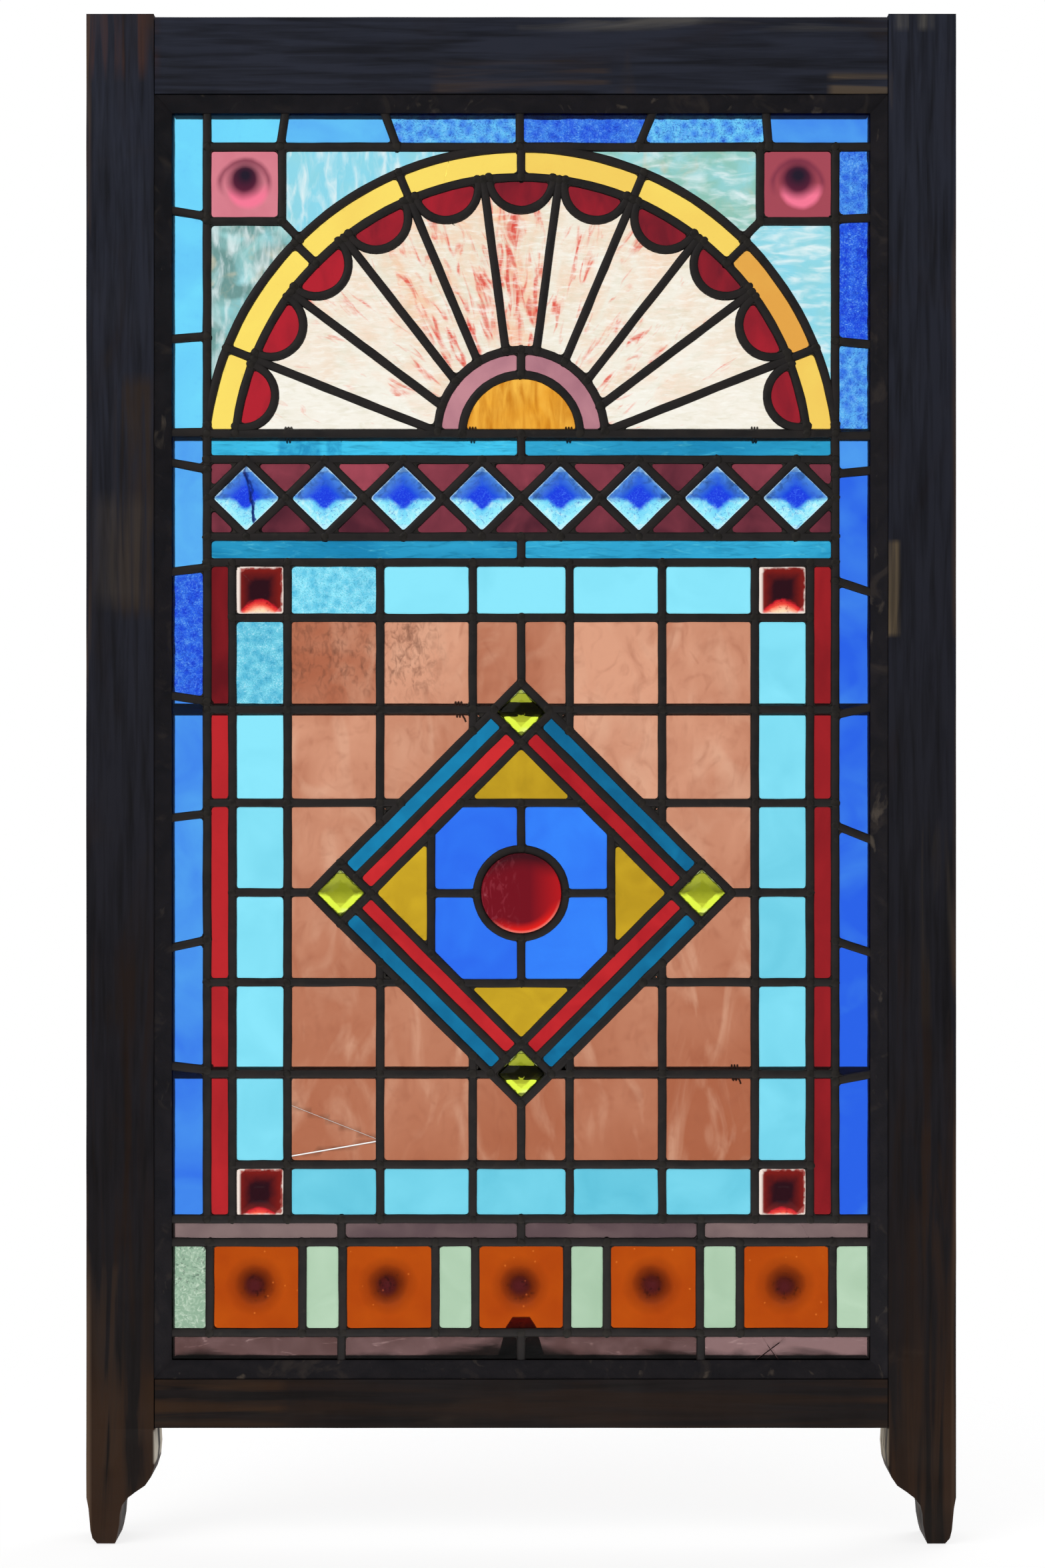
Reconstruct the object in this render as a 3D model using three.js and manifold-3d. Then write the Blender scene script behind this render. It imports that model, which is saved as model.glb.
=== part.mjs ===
// Leaded stained glass upper sash with horns.
// Millimetres, +Z up, +X to the right, the putty side faces -Y.
// Inside this file heights are measured up from the tips of the horns and depths from the flat
// back face. The group at the end moves the whole sash so that the origin is its mount.
import * as THREE from 'three';
import { mergeVertices } from 'three/addons/utils/BufferGeometryUtils.js';
import Module from 'manifold-3d';

const wasm = await Module();
wasm.setup();
const { Manifold, Mesh: SolidMesh } = wasm;

// ---- Driving dimensions ----------------------------------------------------------------------

const GAP = 0.3; // clearance between pieces that touch

// Timber frame
const SASH_HALF = 320; // half the width over the stiles
const SASH_DEPTH = 38;
const STILE_TOP = 1125;
const STILE_FACE = 50; // width of the flat face, which is also the width of the horn
const SIGHT_INSET = 62; // outer edge to the daylight opening
const REBATE_DEPTH = 18; // from the putty side back to the tongue that the panel rests on
const TOP_RAIL = { edge: 1122.5, arris: 1066, sight: 1054 };
const BOTTOM_RAIL = { edge: 85, arris: 121, sight: 133 };
const OVOLO = 8; // radius of the moulding on the back edge of the opening
const TENON = { front: -26, back: -13, inset: 7 };
const PUTTY = { feather: 0.6, top: 10.5 }; // thickness over the glass and against the wood
const MOUNT_HEIGHT = 1092; // middle of the top rail's flat back

// Leaded panel
const CAME = 6.35; // width of the lead
const FLANGE = 1.4;
const PANEL_PLAY = 1.5; // between the panel and the wood of the rebate
const CAME_DEPTH = 6;
const HEART = 1.6; // web between the front and back leaves of the lead
const GLASS = 2.6;
const CROWN = 5.4; // how far a jewel stands out of the glass
const JEWEL = { table: 0.36, margin: 1.6, shoulder: 0.3 }; // table and shoulder as shares
const BOSS = { radius: 17, crown: 2.2, rim: 1.6, table: 0.7 }; // pressed in a square of glass

// Heights of the long horizontal leads, and half widths to the long vertical ones
const Z_BORDER = 1030;
const Z_FAN = 817.8;
const Z_STRIP_A = 798.7;
const Z_STRIP_B = 741.6;
const Z_FIELD_TOP = 722.5;
const Z_FIELD_BOTTOM = 236.7;
const Z_LILAC = 219.5;
const Z_ORANGE = 152.6;
const X_BORDER = 232.5;
const X_RUBY = 213.8;
const COLUMNS = [35.8, 104.4, 173];
const ROWS = [681.6, 613.7, 544.6, 478.2, 411.8, 344.2, 276.9];

// Fan in the arched head
const ARCH = { z: 794.8, outer: 234.45, inner: 212.8 };
const SCALLOPS = 11;
const SCALLOP_STEP = THREE.MathUtils.degToRad(15.2);
const SCALLOP = { at: 212.2, radius: 23.8 };
const YELLOWS = 8;
const YELLOW_STEP = SCALLOP_STEP * 1.5;
const MAUVE = { outer: 62, inner: 43.6 };

// Corner rondels
const RONDEL_CELL = { x: 177, z: 975 };
const CORNER_LEAD = 36; // from a rondel's corner to well into the arch's lead

// Jewel band
const BAND_JEWELS = 8;
const JEWEL_PITCH = (2 * X_BORDER) / BAND_JEWELS;

// Diamond in the field: half widths measured square to its sides
const DIAMOND = { z: 477.8, outer: 110.3, middle: 94.5, inner: 78.7 };
const OCTAGON = 66.7;
const SMALLEST_PANE = 4; // square millimetres: slivers smaller than this are all lead
const ROUNDEL = 32.7;
const ROUNDEL_DOME = { table: 0.6, crown: 0.8, margin: 2.6 };

// Bottom rows
const ORANGE_COLUMNS = [34, 63.5, 132.2, 162, 230.5];
const LILAC_SPLIT = 133;

// Ends of the cross leads in the blue border: outer end, then inner end
const BORDER_TOP = [[-173.5, -178.4], [-103.4, -92], [-1, -1], [100, 87], [180.8, 183.3]];
const BORDER_LEFT = [
  [984, 978.5], [887.4, 889.8], [818.8, 818.8], [797.7, 791.4], [714.9, 718.8],
  [625, 620], [533, 536.5], [436, 443.5], [350.8, 347],
];
const BORDER_RIGHT = [
  [978, 976.6], [883, 886.4], [816.3, 816.3], [791.4, 787.9], [698.7, 709],
  [616.9, 609.6], [515, 528], [431.7, 442.5], [345, 339],
];

// Iron
const SADDLE_BAR = 9.5;
const SADDLE_HEIGHTS = [818, 614, 344];
const SADDLE_SEAT = 8; // how far each end goes into the stile
const SADDLE_SIDES = 10;
const KEEP = {
  base: 17, shoulder: 11.5, top: 6.5, flare: 21, rise: 28.5, front: -15.5, thick: 5, foot: 2.5,
};

// Sides given to round work
const ARCH_SIDES = 36;
const SMALL_SIDES = 16;
const SCALLOP_SIDES = 12;

// ---- Depths worked out from those -------------------------------------------------------------

const FRONT = -SASH_DEPTH;
const REBATE = FRONT + REBATE_DEPTH; // the face that the panel rests on
const PANEL_BACK = REBATE - GAP;
const PANEL_FRONT = PANEL_BACK - CAME_DEPTH;
const GLASS_FRONT = PANEL_FRONT + FLANGE + GAP;
const GLASS_BACK = GLASS_FRONT + GLASS;
const SADDLE_Y = REBATE + SADDLE_BAR / 2 + 2 * GAP;

const SIGHT = SASH_HALF - SIGHT_INSET;
const ARRIS = SASH_HALF - STILE_FACE; // front edge of the rebate
const HALF = CAME / 2;
const PANEL = {
  x: ARRIS - PANEL_PLAY,
  top: TOP_RAIL.arris - PANEL_PLAY,
  bottom: BOTTOM_RAIL.arris + PANEL_PLAY,
};
const CLEAR = HEART / 2 + GAP; // a pane's edge stops this far from the middle of a lead
const WEB_INSET = 0.5; // the outermost web stands this far in from the edge of the panel
const EDGE = WEB_INSET + HEART + GAP; // and a pane stops this far in
const LINK = 1; // strip under a lead that joins panes parted by a jewel
const COVER = 0.7; // how far a jewel reaches in under its lead

// ---- Materials -------------------------------------------------------------------------------

const finish = (color, roughness, metalness = 0) =>
  new THREE.MeshStandardMaterial({ color, roughness, metalness, flatShading: true });
const glass = (color) => finish(color, 0.15);

const timber = finish(0x2a201b, 0.75);
const putty = finish(0x3a342e, 0.9);
const lead = finish(0x2a2622, 0.6, 0.4);
const iron = finish(0x1d1a18, 0.7, 0.6);

// ---- Solid helpers ---------------------------------------------------------------------------

const SAME_POINT = 1e-4;

// A closed three.js geometry as a solid, with its shared corners merged.
function toSolid(geometry) {
  geometry.deleteAttribute('normal');
  geometry.deleteAttribute('uv');
  const merged = mergeVertices(geometry, SAME_POINT);
  const corners = merged.index.array;
  const triangles = [];
  for (let i = 0; i < corners.length; i += 3) {
    const [a, b, c] = corners.slice(i, i + 3);
    if (a !== b && b !== c && c !== a) triangles.push(a, b, c);
  }
  return new Manifold(new SolidMesh({
    numProp: 3,
    vertProperties: Float32Array.from(merged.attributes.position.array),
    triVerts: Uint32Array.from(triangles),
  }));
}

function toMesh(name, solid, material) {
  const { vertProperties, triVerts } = solid.getMesh();
  const geometry = new THREE.BufferGeometry();
  geometry.setAttribute('position', new THREE.BufferAttribute(vertProperties, 3));
  geometry.setIndex(new THREE.BufferAttribute(triVerts, 1));
  geometry.computeVertexNormals();
  const mesh = new THREE.Mesh(geometry, material);
  mesh.name = name;
  return mesh;
}

const join = (solids) => Manifold.union(solids);

// An outline drawn in X and Z, from depth `front` back to depth `back`.
function slab(outline, front, back) {
  const shape = new THREE.Shape(outline.map(([x, z]) => new THREE.Vector2(x, z)));
  const geometry = new THREE.ExtrudeGeometry(shape, { depth: back - front, bevelEnabled: false });
  return toSolid(geometry.rotateX(Math.PI / 2).translate(0, back, 0));
}

const block = (x0, x1, y0, y1, z0, z1) =>
  toSolid(new THREE.BoxGeometry(x1 - x0, y1 - y0, z1 - z0)
    .translate((x0 + x1) / 2, (y0 + y1) / 2, (z0 + z1) / 2));

const rectangle = (x0, z0, x1, z1) => [[x0, z0], [x1, z0], [x1, z1], [x0, z1]];

// Points of an arc, with angles from straight up and turning towards +X.
function arc(cx, cz, radius, from, to, steps) {
  const points = [];
  for (let i = 0; i <= steps; i++) {
    const angle = from + ((to - from) * i) / steps;
    points.push([cx + radius * Math.sin(angle), cz + radius * Math.cos(angle)]);
  }
  return points;
}

const circle = (cx, cz, radius, sides) =>
  arc(cx, cz, radius, 0, 2 * Math.PI, sides).slice(0, sides);

// A square standing on its corner, sized by the distance from its middle to its sides.
const diamond = (cx, cz, reach) => circle(cx, cz, reach * Math.SQRT2, 4);

// A turned or faceted button: pairs of radius and depth, from its front to its back.
function button(cx, cz, profile, sides, turn = 0) {
  const points = profile.map(([radius, y]) => new THREE.Vector2(radius, y));
  return toSolid(new THREE.LatheGeometry(points, sides, turn).translate(cx, 0, cz));
}

// A section drawn in depth and height, run along X.
function extrudeAcross(section, x0, x1) {
  const shape = new THREE.Shape(section.map(([y, z]) => new THREE.Vector2(y, z)));
  const geometry = new THREE.ExtrudeGeometry(shape, { depth: x1 - x0, bevelEnabled: false });
  const depthToX = new THREE.Matrix4().makeBasis(
    new THREE.Vector3(0, 1, 0), new THREE.Vector3(0, 0, 1), new THREE.Vector3(1, 0, 0));
  return toSolid(geometry.applyMatrix4(depthToX).translate(x0, 0, 0));
}

// A section drawn in X and depth, run upwards.
function extrudeUp(section, z0, z1) {
  const shape = new THREE.Shape(section.map(([x, y]) => new THREE.Vector2(x, y)));
  const geometry = new THREE.ExtrudeGeometry(shape, { depth: z1 - z0, bevelEnabled: false });
  return toSolid(geometry.translate(0, 0, z0));
}

// ---- Timber frame ----------------------------------------------------------------------------

// Section of a stile or rail as distance in from the arris against depth: face, rebate, tongue,
// and the quarter-round moulding on the back edge of the tongue.
function tongueSection(reach) {
  const section = [[0, FRONT], [0, REBATE], [reach, REBATE], [reach, -OVOLO]];
  for (const share of [1 / 3, 2 / 3, 1]) {
    const angle = (share * Math.PI) / 2;
    section.push([reach - OVOLO * (1 - Math.cos(angle)), -OVOLO * (1 - Math.sin(angle))]);
  }
  return section;
}

// Outline of the stile and its horn, as distance in from the outer edge against height.
function stileOutline() {
  const inner = [
    [SIGHT_INSET, STILE_TOP], [SIGHT_INSET, BOTTOM_RAIL.edge - GAP],
    [50.5, BOTTOM_RAIL.edge - GAP], [51.5, 68], [50.5, 57], [48, 49], [43.6, 42.6],
    [36.5, 37.8], [30.5, 33.2], [26.6, 28], [25.2, 22], [24.6, 14], [23, 5.4], [21.5, 0],
  ];
  const outer = [[8, 0], [4.5, 4], [3, 10], [1.5, 26], [0, 34], [0, STILE_TOP]];
  return [...inner, ...outer].map(([inset, z]) => [SASH_HALF - inset, z]);
}

// Corners of a rail's tenon or, grown by the clearance, of the mortise it goes through.
const tenonSize = (rail, grow) => [
  TENON.front - grow, TENON.back + grow,
  Math.min(rail.edge, rail.arris) + TENON.inset - grow,
  Math.max(rail.edge, rail.arris) - TENON.inset + grow,
];

const saddleBar = (z, diameter, reach) =>
  toSolid(new THREE.CylinderGeometry(diameter / 2, diameter / 2, 2 * reach, SADDLE_SIDES)
    .rotateZ(Math.PI / 2).translate(0, SADDLE_Y, z));

function rightStile() {
  const section = [
    [SASH_HALF, 0], [SASH_HALF, FRONT],
    ...tongueSection(SIGHT_INSET - STILE_FACE).map(([inset, y]) => [ARRIS - inset, y]),
  ];
  const full = [
    extrudeUp(section, 0, STILE_TOP),
    block(SIGHT, SASH_HALF, FRONT, 0, 0, BOTTOM_RAIL.edge - GAP),
  ];
  let stile = join(full).intersect(slab(stileOutline(), FRONT - 1, 1));
  for (const rail of [TOP_RAIL, BOTTOM_RAIL]) {
    stile = stile.subtract(block(SIGHT - 1, SASH_HALF + 1, ...tenonSize(rail, GAP)));
  }
  for (const z of SADDLE_HEIGHTS) {
    stile = stile.subtract(saddleBar(z, SADDLE_BAR + 2 * GAP, SIGHT + SADDLE_SEAT + GAP));
  }
  return stile;
}

// A rail butts against the stiles, is notched over their tongues, and its tenons run through.
function railSolid(rail) {
  const towards = Math.sign(rail.sight - rail.arris); // the way to the opening
  const section = [
    [0, rail.edge], [FRONT, rail.edge],
    ...tongueSection(Math.abs(rail.sight - rail.arris))
      .map(([inset, y]) => [y, rail.arris + towards * inset]),
  ];
  let solid = extrudeAcross(section, GAP - ARRIS, ARRIS - GAP);
  for (const side of [-1, 1]) {
    const ends = [side * (SIGHT - GAP), side * (ARRIS + 1)].sort((a, b) => a - b);
    solid = solid.subtract(block(...ends, REBATE - GAP, 1, 0, STILE_TOP));
  }
  return solid.add(block(GAP - SASH_HALF, SASH_HALF - GAP, ...tenonSize(rail, 0)));
}

// The fillet of putty in the rebate, sloping from the wood down to the glass.
function puttyRing() {
  const back = PANEL_FRONT - GAP;
  const wedge = (wall, sight) => [
    [wall, back], [sight, back], [sight, back - PUTTY.feather], [wall, back - PUTTY.top],
  ];
  const turned = (section) => section.map(([across, y]) => [y, across]);
  const [low, high] = [BOTTOM_RAIL.arris + GAP, TOP_RAIL.arris - GAP];
  const wall = ARRIS - GAP;
  return join([
    extrudeUp(wedge(wall, SIGHT), low, high),
    extrudeUp(wedge(-wall, -SIGHT), low, high),
    extrudeAcross(turned(wedge(high, TOP_RAIL.sight)), -wall, wall),
    extrudeAcross(turned(wedge(low, BOTTOM_RAIL.sight)), -wall, wall),
  ]);
}

// The catch on the bottom rail: a foot with a tapered lug, behind the glass.
function sashKeep() {
  const sill = BOTTOM_RAIL.sight + GAP;
  const lug = [
    [-KEEP.base, 0], [KEEP.base, 0], [KEEP.shoulder, KEEP.flare], [KEEP.top, KEEP.rise],
    [-KEEP.top, KEEP.rise], [-KEEP.shoulder, KEEP.flare],
  ].map(([x, z]) => [x, sill + z]);
  return join([
    slab(lug, KEEP.front, KEEP.front + KEEP.thick),
    block(-KEEP.base, KEEP.base, KEEP.front - 2, -OVOLO - GAP, sill, sill + KEEP.foot),
  ]);
}

// ---- Lead network ----------------------------------------------------------------------------

// Keeps the side of a convex outline where nx * x + nz * z is at least `least`.
function clip(outline, nx, nz, least) {
  const kept = [];
  outline.forEach(([x0, z0], i) => {
    const [x1, z1] = outline[(i + 1) % outline.length];
    const [from, to] = [nx * x0 + nz * z0 - least, nx * x1 + nz * z1 - least];
    if (from >= 0) kept.push([x0, z0]);
    if (from * to < 0) {
      const share = from / (from - to);
      kept.push([x0 + share * (x1 - x0), z0 + share * (z1 - z0)]);
    }
  });
  return kept;
}

const area = (outline) => outline.reduce((sum, [x0, z0], i) => {
  const [x1, z1] = outline[(i + 1) % outline.length];
  return sum + (x0 * z1 - x1 * z0) / 2;
}, 0);

// Moves every side of a convex outline inwards.
function shrink(outline, by) {
  const turn = Math.sign(area(outline));
  let result = outline;
  outline.forEach(([x0, z0], i) => {
    const [x1, z1] = outline[(i + 1) % outline.length];
    const length = Math.hypot(x1 - x0, z1 - z0);
    const [nx, nz] = [(-turn * (z1 - z0)) / length, (turn * (x1 - x0)) / length];
    result = clip(result, nx, nz, nx * x0 + nz * z0 + by);
  });
  return result;
}

// Every pane is drawn as a cell out to the middle of the leads round it.
const cellRow = (xs, z0, z1) => xs.slice(1).map((x, i) => rectangle(xs[i], z0, x, z1));
const bothWays = (xs) => [...xs.map((x) => -x).reverse(), ...xs];
const EDGE_LINE = { x: PANEL.x - HALF, top: PANEL.top - HALF, bottom: PANEL.bottom + HALF };

// The blue border: cells between one slanting cross lead and the next.
function borderCells() {
  const { x, top } = EDGE_LINE;
  const between = (ends) => ends.slice(1).map((end, i) => [ends[i], end]);
  const down = (ends, from, side) => between([from, ...ends, [Z_FIELD_BOTTOM, Z_FIELD_BOTTOM]])
    .map(([[o0, i0], [o1, i1]]) =>
      [[side * x, o0], [side * X_BORDER, i0], [side * X_BORDER, i1], [side * x, o1]]);
  const over = between([[-X_BORDER, -X_BORDER], ...BORDER_TOP, [x, x]])
    .map(([[o0, i0], [o1, i1]]) => [[o0, top], [o1, top], [i1, Z_BORDER], [i0, Z_BORDER]]);
  return [
    ...over, ...down(BORDER_LEFT, [top, top], -1),
    ...down(BORDER_RIGHT, [Z_BORDER, Z_BORDER], 1),
  ];
}

function bandCells() {
  const middle = (Z_STRIP_A + Z_STRIP_B) / 2;
  const halfStrip = [-X_BORDER, 0, X_BORDER];
  const cells = [
    ...cellRow(halfStrip, Z_STRIP_A, Z_FAN), ...cellRow(halfStrip, Z_FIELD_TOP, Z_STRIP_B),
  ];
  for (let i = 0; i <= BAND_JEWELS; i++) {
    const x = -X_BORDER + i * JEWEL_PITCH;
    const [left, right] = [x - JEWEL_PITCH / 2, x + JEWEL_PITCH / 2].map((edge) =>
      Math.max(-X_BORDER, Math.min(X_BORDER, edge)));
    for (const z of [Z_STRIP_A, Z_STRIP_B]) {
      cells.push([[left, z], [x, middle], [right, z]].concat(x === left || x === right ? [[x, z]] : []));
    }
    if (i < BAND_JEWELS) {
      const far = x + JEWEL_PITCH;
      cells.push([[x, middle], [right, Z_STRIP_A], [far, middle], [right, Z_STRIP_B]]);
    }
  }
  return cells.map((cell) => cell.filter(([x, z], i) =>
    cell.findIndex(([u, w]) => u === x && w === z) === i));
}

// The quarry field, its light cyan and ruby borders, and the rows below it.
function fieldCells() {
  const columns = bothWays([...COLUMNS, X_RUBY]);
  const lilac = [-EDGE_LINE.x, -LILAC_SPLIT, 0, LILAC_SPLIT, EDGE_LINE.x];
  const cells = [
    ...cellRow(columns, ROWS[0], Z_FIELD_TOP), ...cellRow(columns, Z_FIELD_BOTTOM, ROWS.at(-1)),
    ...cellRow(lilac, Z_LILAC, Z_FIELD_BOTTOM), ...cellRow(lilac, EDGE_LINE.bottom, Z_ORANGE),
    ...cellRow(bothWays([...ORANGE_COLUMNS, EDGE_LINE.x]), Z_ORANGE, Z_LILAC),
  ];
  const rubyRows = [Z_FIELD_TOP, ROWS[1], ROWS[2], ROWS[4], ROWS[5], Z_FIELD_BOTTOM];
  for (const side of [-1, 1]) {
    rubyRows.slice(1).forEach((low, i) =>
      cells.push(rectangle(side * X_RUBY, low, side * X_BORDER, rubyRows[i])));
    ROWS.slice(1).forEach((low, i) => {
      cells.push(rectangle(side * COLUMNS[2], low, side * X_RUBY, ROWS[i]));
      const up = (low + ROWS[i]) / 2 > DIAMOND.z ? 1 : -1;
      [0, ...COLUMNS].slice(1).forEach((x, j) => {
        const quarry = rectangle(side * [0, ...COLUMNS][j], low, side * x, ROWS[i]);
        cells.push(clip(quarry, side, up, DIAMOND.outer * Math.SQRT2 + up * DIAMOND.z));
      });
    });
  }
  return cells;
}

// Strips, corner jewels and corners of the diamond, drawn square and then stood on a corner.
function diamondCells() {
  const { outer, middle, inner, z } = DIAMOND;
  const turn = ([x, y]) => [(x - y) / Math.SQRT2, z + (x + y) / Math.SQRT2];
  const square = [];
  for (const side of [-1, 1]) {
    for (const [near, far] of [[inner, middle], [middle, outer]]) {
      square.push(rectangle(-inner, side * near, inner, side * far));
      square.push(rectangle(side * near, -inner, side * far, inner));
    }
    square.push(rectangle(inner, side * inner, outer, side * outer));
    square.push(rectangle(-inner, side * inner, -outer, side * outer));
  }
  const whole = diamond(0, 0, inner);
  const corners = [[0, 1], [1, 0], [0, -1], [-1, 0]]
    .map(([nx, nz]) => clip(whole, nx, nz, OCTAGON).map(([x, y]) => [x, z + y]));
  return [...square.map((cell) => cell.map(turn)), ...corners];
}

// Middle and angle of each scallop, on the inner lead of the arch.
const scallopPlaces = () => Array.from({ length: SCALLOPS }, (_, i) => {
  const angle = (i - (SCALLOPS - 1) / 2) * SCALLOP_STEP;
  return [SCALLOP.at * Math.sin(angle), ARCH.z + SCALLOP.at * Math.cos(angle), angle];
});

const anyDepth = (outline) => slab(outline, FRONT, 0);
const above = (z) => block(-SASH_HALF, SASH_HALF, FRONT, 0, z, STILE_TOP);

// A piece of the fan between two leads that run along rays of the arch.
function wedge(from, to, inset) {
  const onRay = (angle, distance, side) => [
    distance * Math.sin(angle) + side * inset * Math.cos(angle),
    ARCH.z + distance * Math.cos(angle) - side * inset * Math.sin(angle),
  ];
  const tip = onRay((from + to) / 2, inset / Math.sin((to - from) / 2), 0);
  return anyDepth([tip, onRay(from, SASH_HALF, 1), onRay(to, SASH_HALF, -1)]);
}

// Openings of the arched head, cut with round and wedge-shaped solids.
function fanOpenings() {
  const openings = [];
  const floor = above(Z_FAN + HALF);
  const disc = (z, radius, sides) => anyDepth(circle(0, z, radius, sides));
  const yellow = disc(ARCH.z, ARCH.outer - HALF, ARCH_SIDES)
    .subtract(disc(ARCH.z, ARCH.inner + HALF, ARCH_SIDES)).intersect(floor);
  for (let i = -YELLOWS / 2; i < YELLOWS / 2; i++) {
    openings.push(yellow.intersect(wedge(i * YELLOW_STEP, (i + 1) * YELLOW_STEP, HALF)));
  }
  const scallopEdge = disc(ARCH.z, ARCH.inner - HALF, ARCH_SIDES);
  const mauve = disc(Z_FAN, MAUVE.outer + HALF, SMALL_SIDES);
  for (const [x, z, angle] of scallopPlaces()) {
    openings.push(anyDepth(circle(x, z, SCALLOP.radius - HALF, SCALLOP_SIDES)).intersect(scallopEdge));
    const step = SCALLOP_STEP / 2;
    openings.push(wedge(angle - step, angle + step, HALF)
      .intersect(floor).intersect(disc(ARCH.z, SCALLOP.at, ARCH_SIDES))
      .subtract(anyDepth(circle(x, z, SCALLOP.radius + HALF, SCALLOP_SIDES))).subtract(mauve));
  }
  const ring = disc(Z_FAN, MAUVE.outer - HALF, SMALL_SIDES)
    .subtract(disc(Z_FAN, MAUVE.inner + HALF, SMALL_SIDES)).intersect(floor);
  for (const side of [-1, 1]) {
    openings.push(ring.intersect(anyDepth(
      rectangle(side * HALF, Z_FAN, side * SASH_HALF, Z_BORDER))));
  }
  openings.push(disc(Z_FAN, MAUVE.inner - HALF, SMALL_SIDES).intersect(floor));
  return openings;
}

// A spandrel has two panes, on either side of the lead from the rondel to the arch.
function spandrelOpening(side) {
  const { x, z } = RONDEL_CELL;
  const reach = Math.hypot(x, z - ARCH.z);
  const [dx, dz] = [x / reach, (z - ARCH.z) / reach];
  const corner = (along, across) =>
    [side * (x - along * dx + across * dz), z - along * dz - across * dx];
  const strip = [
    corner(0, HALF), corner(0, -HALF), corner(CORNER_LEAD, -HALF), corner(CORNER_LEAD, HALF),
  ];
  return anyDepth(rectangle(0, ARCH.z, side * (X_BORDER - HALF), Z_BORDER - HALF))
    .subtract(anyDepth(rectangle(side * (x - HALF), z - HALF, side * SASH_HALF, STILE_TOP)))
    .subtract(anyDepth(circle(0, ARCH.z, ARCH.outer + HALF, ARCH_SIDES)))
    .subtract(anyDepth(strip));
}

// The octagon has four panes round the roundel.
function octagonOpenings() {
  const bite = anyDepth(circle(0, DIAMOND.z, ROUNDEL + HALF, SMALL_SIDES));
  const openings = [anyDepth(circle(0, DIAMOND.z, ROUNDEL - HALF, SMALL_SIDES))];
  for (const [side, up] of [[-1, -1], [-1, 1], [1, -1], [1, 1]]) {
    const quarter = rectangle(0, DIAMOND.z, side * OCTAGON, DIAMOND.z + up * OCTAGON);
    const cell = clip(quarter, -side, -up, -DIAMOND.inner * Math.SQRT2 - up * DIAMOND.z);
    openings.push(anyDepth(shrink(cell, HALF)).subtract(bite));
  }
  return openings;
}

function frontOpenings() {
  const { x, z } = RONDEL_CELL;
  const cells = [
    ...borderCells(), ...bandCells(), ...fieldCells(), ...diamondCells(),
    rectangle(-X_BORDER, z, -x, Z_BORDER), rectangle(x, z, X_BORDER, Z_BORDER),
  ];
  const daylight = cells.map((cell) => shrink(cell, HALF))
    .filter((outline) => outline.length > 2 && Math.abs(area(outline)) > SMALLEST_PANE);
  return [
    ...daylight.map(anyDepth), ...fanOpenings(), ...octagonOpenings(),
    spandrelOpening(-1), spandrelOpening(1),
  ];
}

// On the back only the long leads are drawn: border, arch, bands and field.
function backOpenings() {
  const { x, top, bottom } = EDGE_LINE;
  const heights = [Z_FIELD_TOP, Z_STRIP_B, Z_STRIP_A, Z_FAN];
  const cells = [
    rectangle(-x, Z_FIELD_BOTTOM, -X_BORDER, top), rectangle(-X_BORDER, Z_BORDER, x, top),
    rectangle(X_BORDER, Z_FIELD_BOTTOM, x, Z_BORDER),
    ...heights.slice(1).map((z, i) => rectangle(-X_BORDER, heights[i], X_BORDER, z)),
    ...cellRow(bothWays([X_RUBY, X_BORDER]), Z_FIELD_BOTTOM, Z_FIELD_TOP),
    rectangle(-x, Z_ORANGE, x, Z_FIELD_BOTTOM), rectangle(-x, bottom, x, Z_ORANGE),
  ];
  const head = anyDepth(shrink(rectangle(-X_BORDER, Z_FAN, X_BORDER, Z_BORDER), HALF));
  const disc = (radius) => anyDepth(circle(0, ARCH.z, radius, ARCH_SIDES));
  return [
    ...cells.map((cell) => anyDepth(shrink(cell, HALF))),
    head.subtract(disc(ARCH.outer + HALF)), disc(ARCH.outer - HALF).intersect(above(Z_FAN + HALF)),
  ];
}

// The webs that join the two leaves. They stop where one sheet of glass runs on under a lead.
function webs() {
  const edge = PANEL.x - WEB_INSET - HEART / 2;
  const [top, bottom] = [PANEL.top - PANEL.x + edge, PANEL.bottom + PANEL.x - edge];
  const lines = [
    [-edge, top, edge, top], [-edge, bottom, edge, bottom],
    [-edge, Z_FIELD_BOTTOM, edge, Z_FIELD_BOTTOM], [-edge, Z_ORANGE, edge, Z_ORANGE],
    [-X_BORDER, Z_BORDER, X_BORDER, Z_BORDER], [-X_BORDER, Z_FAN, X_BORDER, Z_FAN],
    [-X_BORDER, Z_FIELD_TOP, X_BORDER, Z_FIELD_TOP],
    ...[-1, 1].flatMap((side) => [
      [side * edge, bottom, side * edge, top],
      [side * X_BORDER, Z_FIELD_BOTTOM, side * X_BORDER, Z_BORDER],
      [side * X_RUBY, Z_FIELD_BOTTOM, side * X_RUBY, Z_FIELD_TOP],
    ]),
  ];
  const [front, back] = [PANEL_FRONT + FLANGE / 2, PANEL_BACK - FLANGE / 2];
  return lines.map(([x0, z0, x1, z1]) => {
    const [dx, dz] = x0 === x1 ? [HEART / 2, 0] : [0, HEART / 2];
    return block(x0 - dx, x1 + dx, front, back, z0 - dz, z1 + dz);
  });
}

function leadNetwork() {
  const leaf = (front, openings) =>
    block(-PANEL.x, PANEL.x, front, front + FLANGE, PANEL.bottom, PANEL.top)
      .subtract(join(openings));
  return join([
    leaf(PANEL_FRONT, frontOpenings()), leaf(PANEL_BACK - FLANGE, backOpenings()), ...webs(),
  ]);
}

// ---- Glass -----------------------------------------------------------------------------------

// Panes of one colour that lie side by side are one sheet that runs on under the leads.
const pane = (outline) => slab(outline, GLASS_FRONT, GLASS_BACK);
const paneBox = (x0, z0, x1, z1) => pane(rectangle(x0, z0, x1, z1));
const aboveFanGlass = () => above(Z_FAN + CLEAR);

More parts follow.
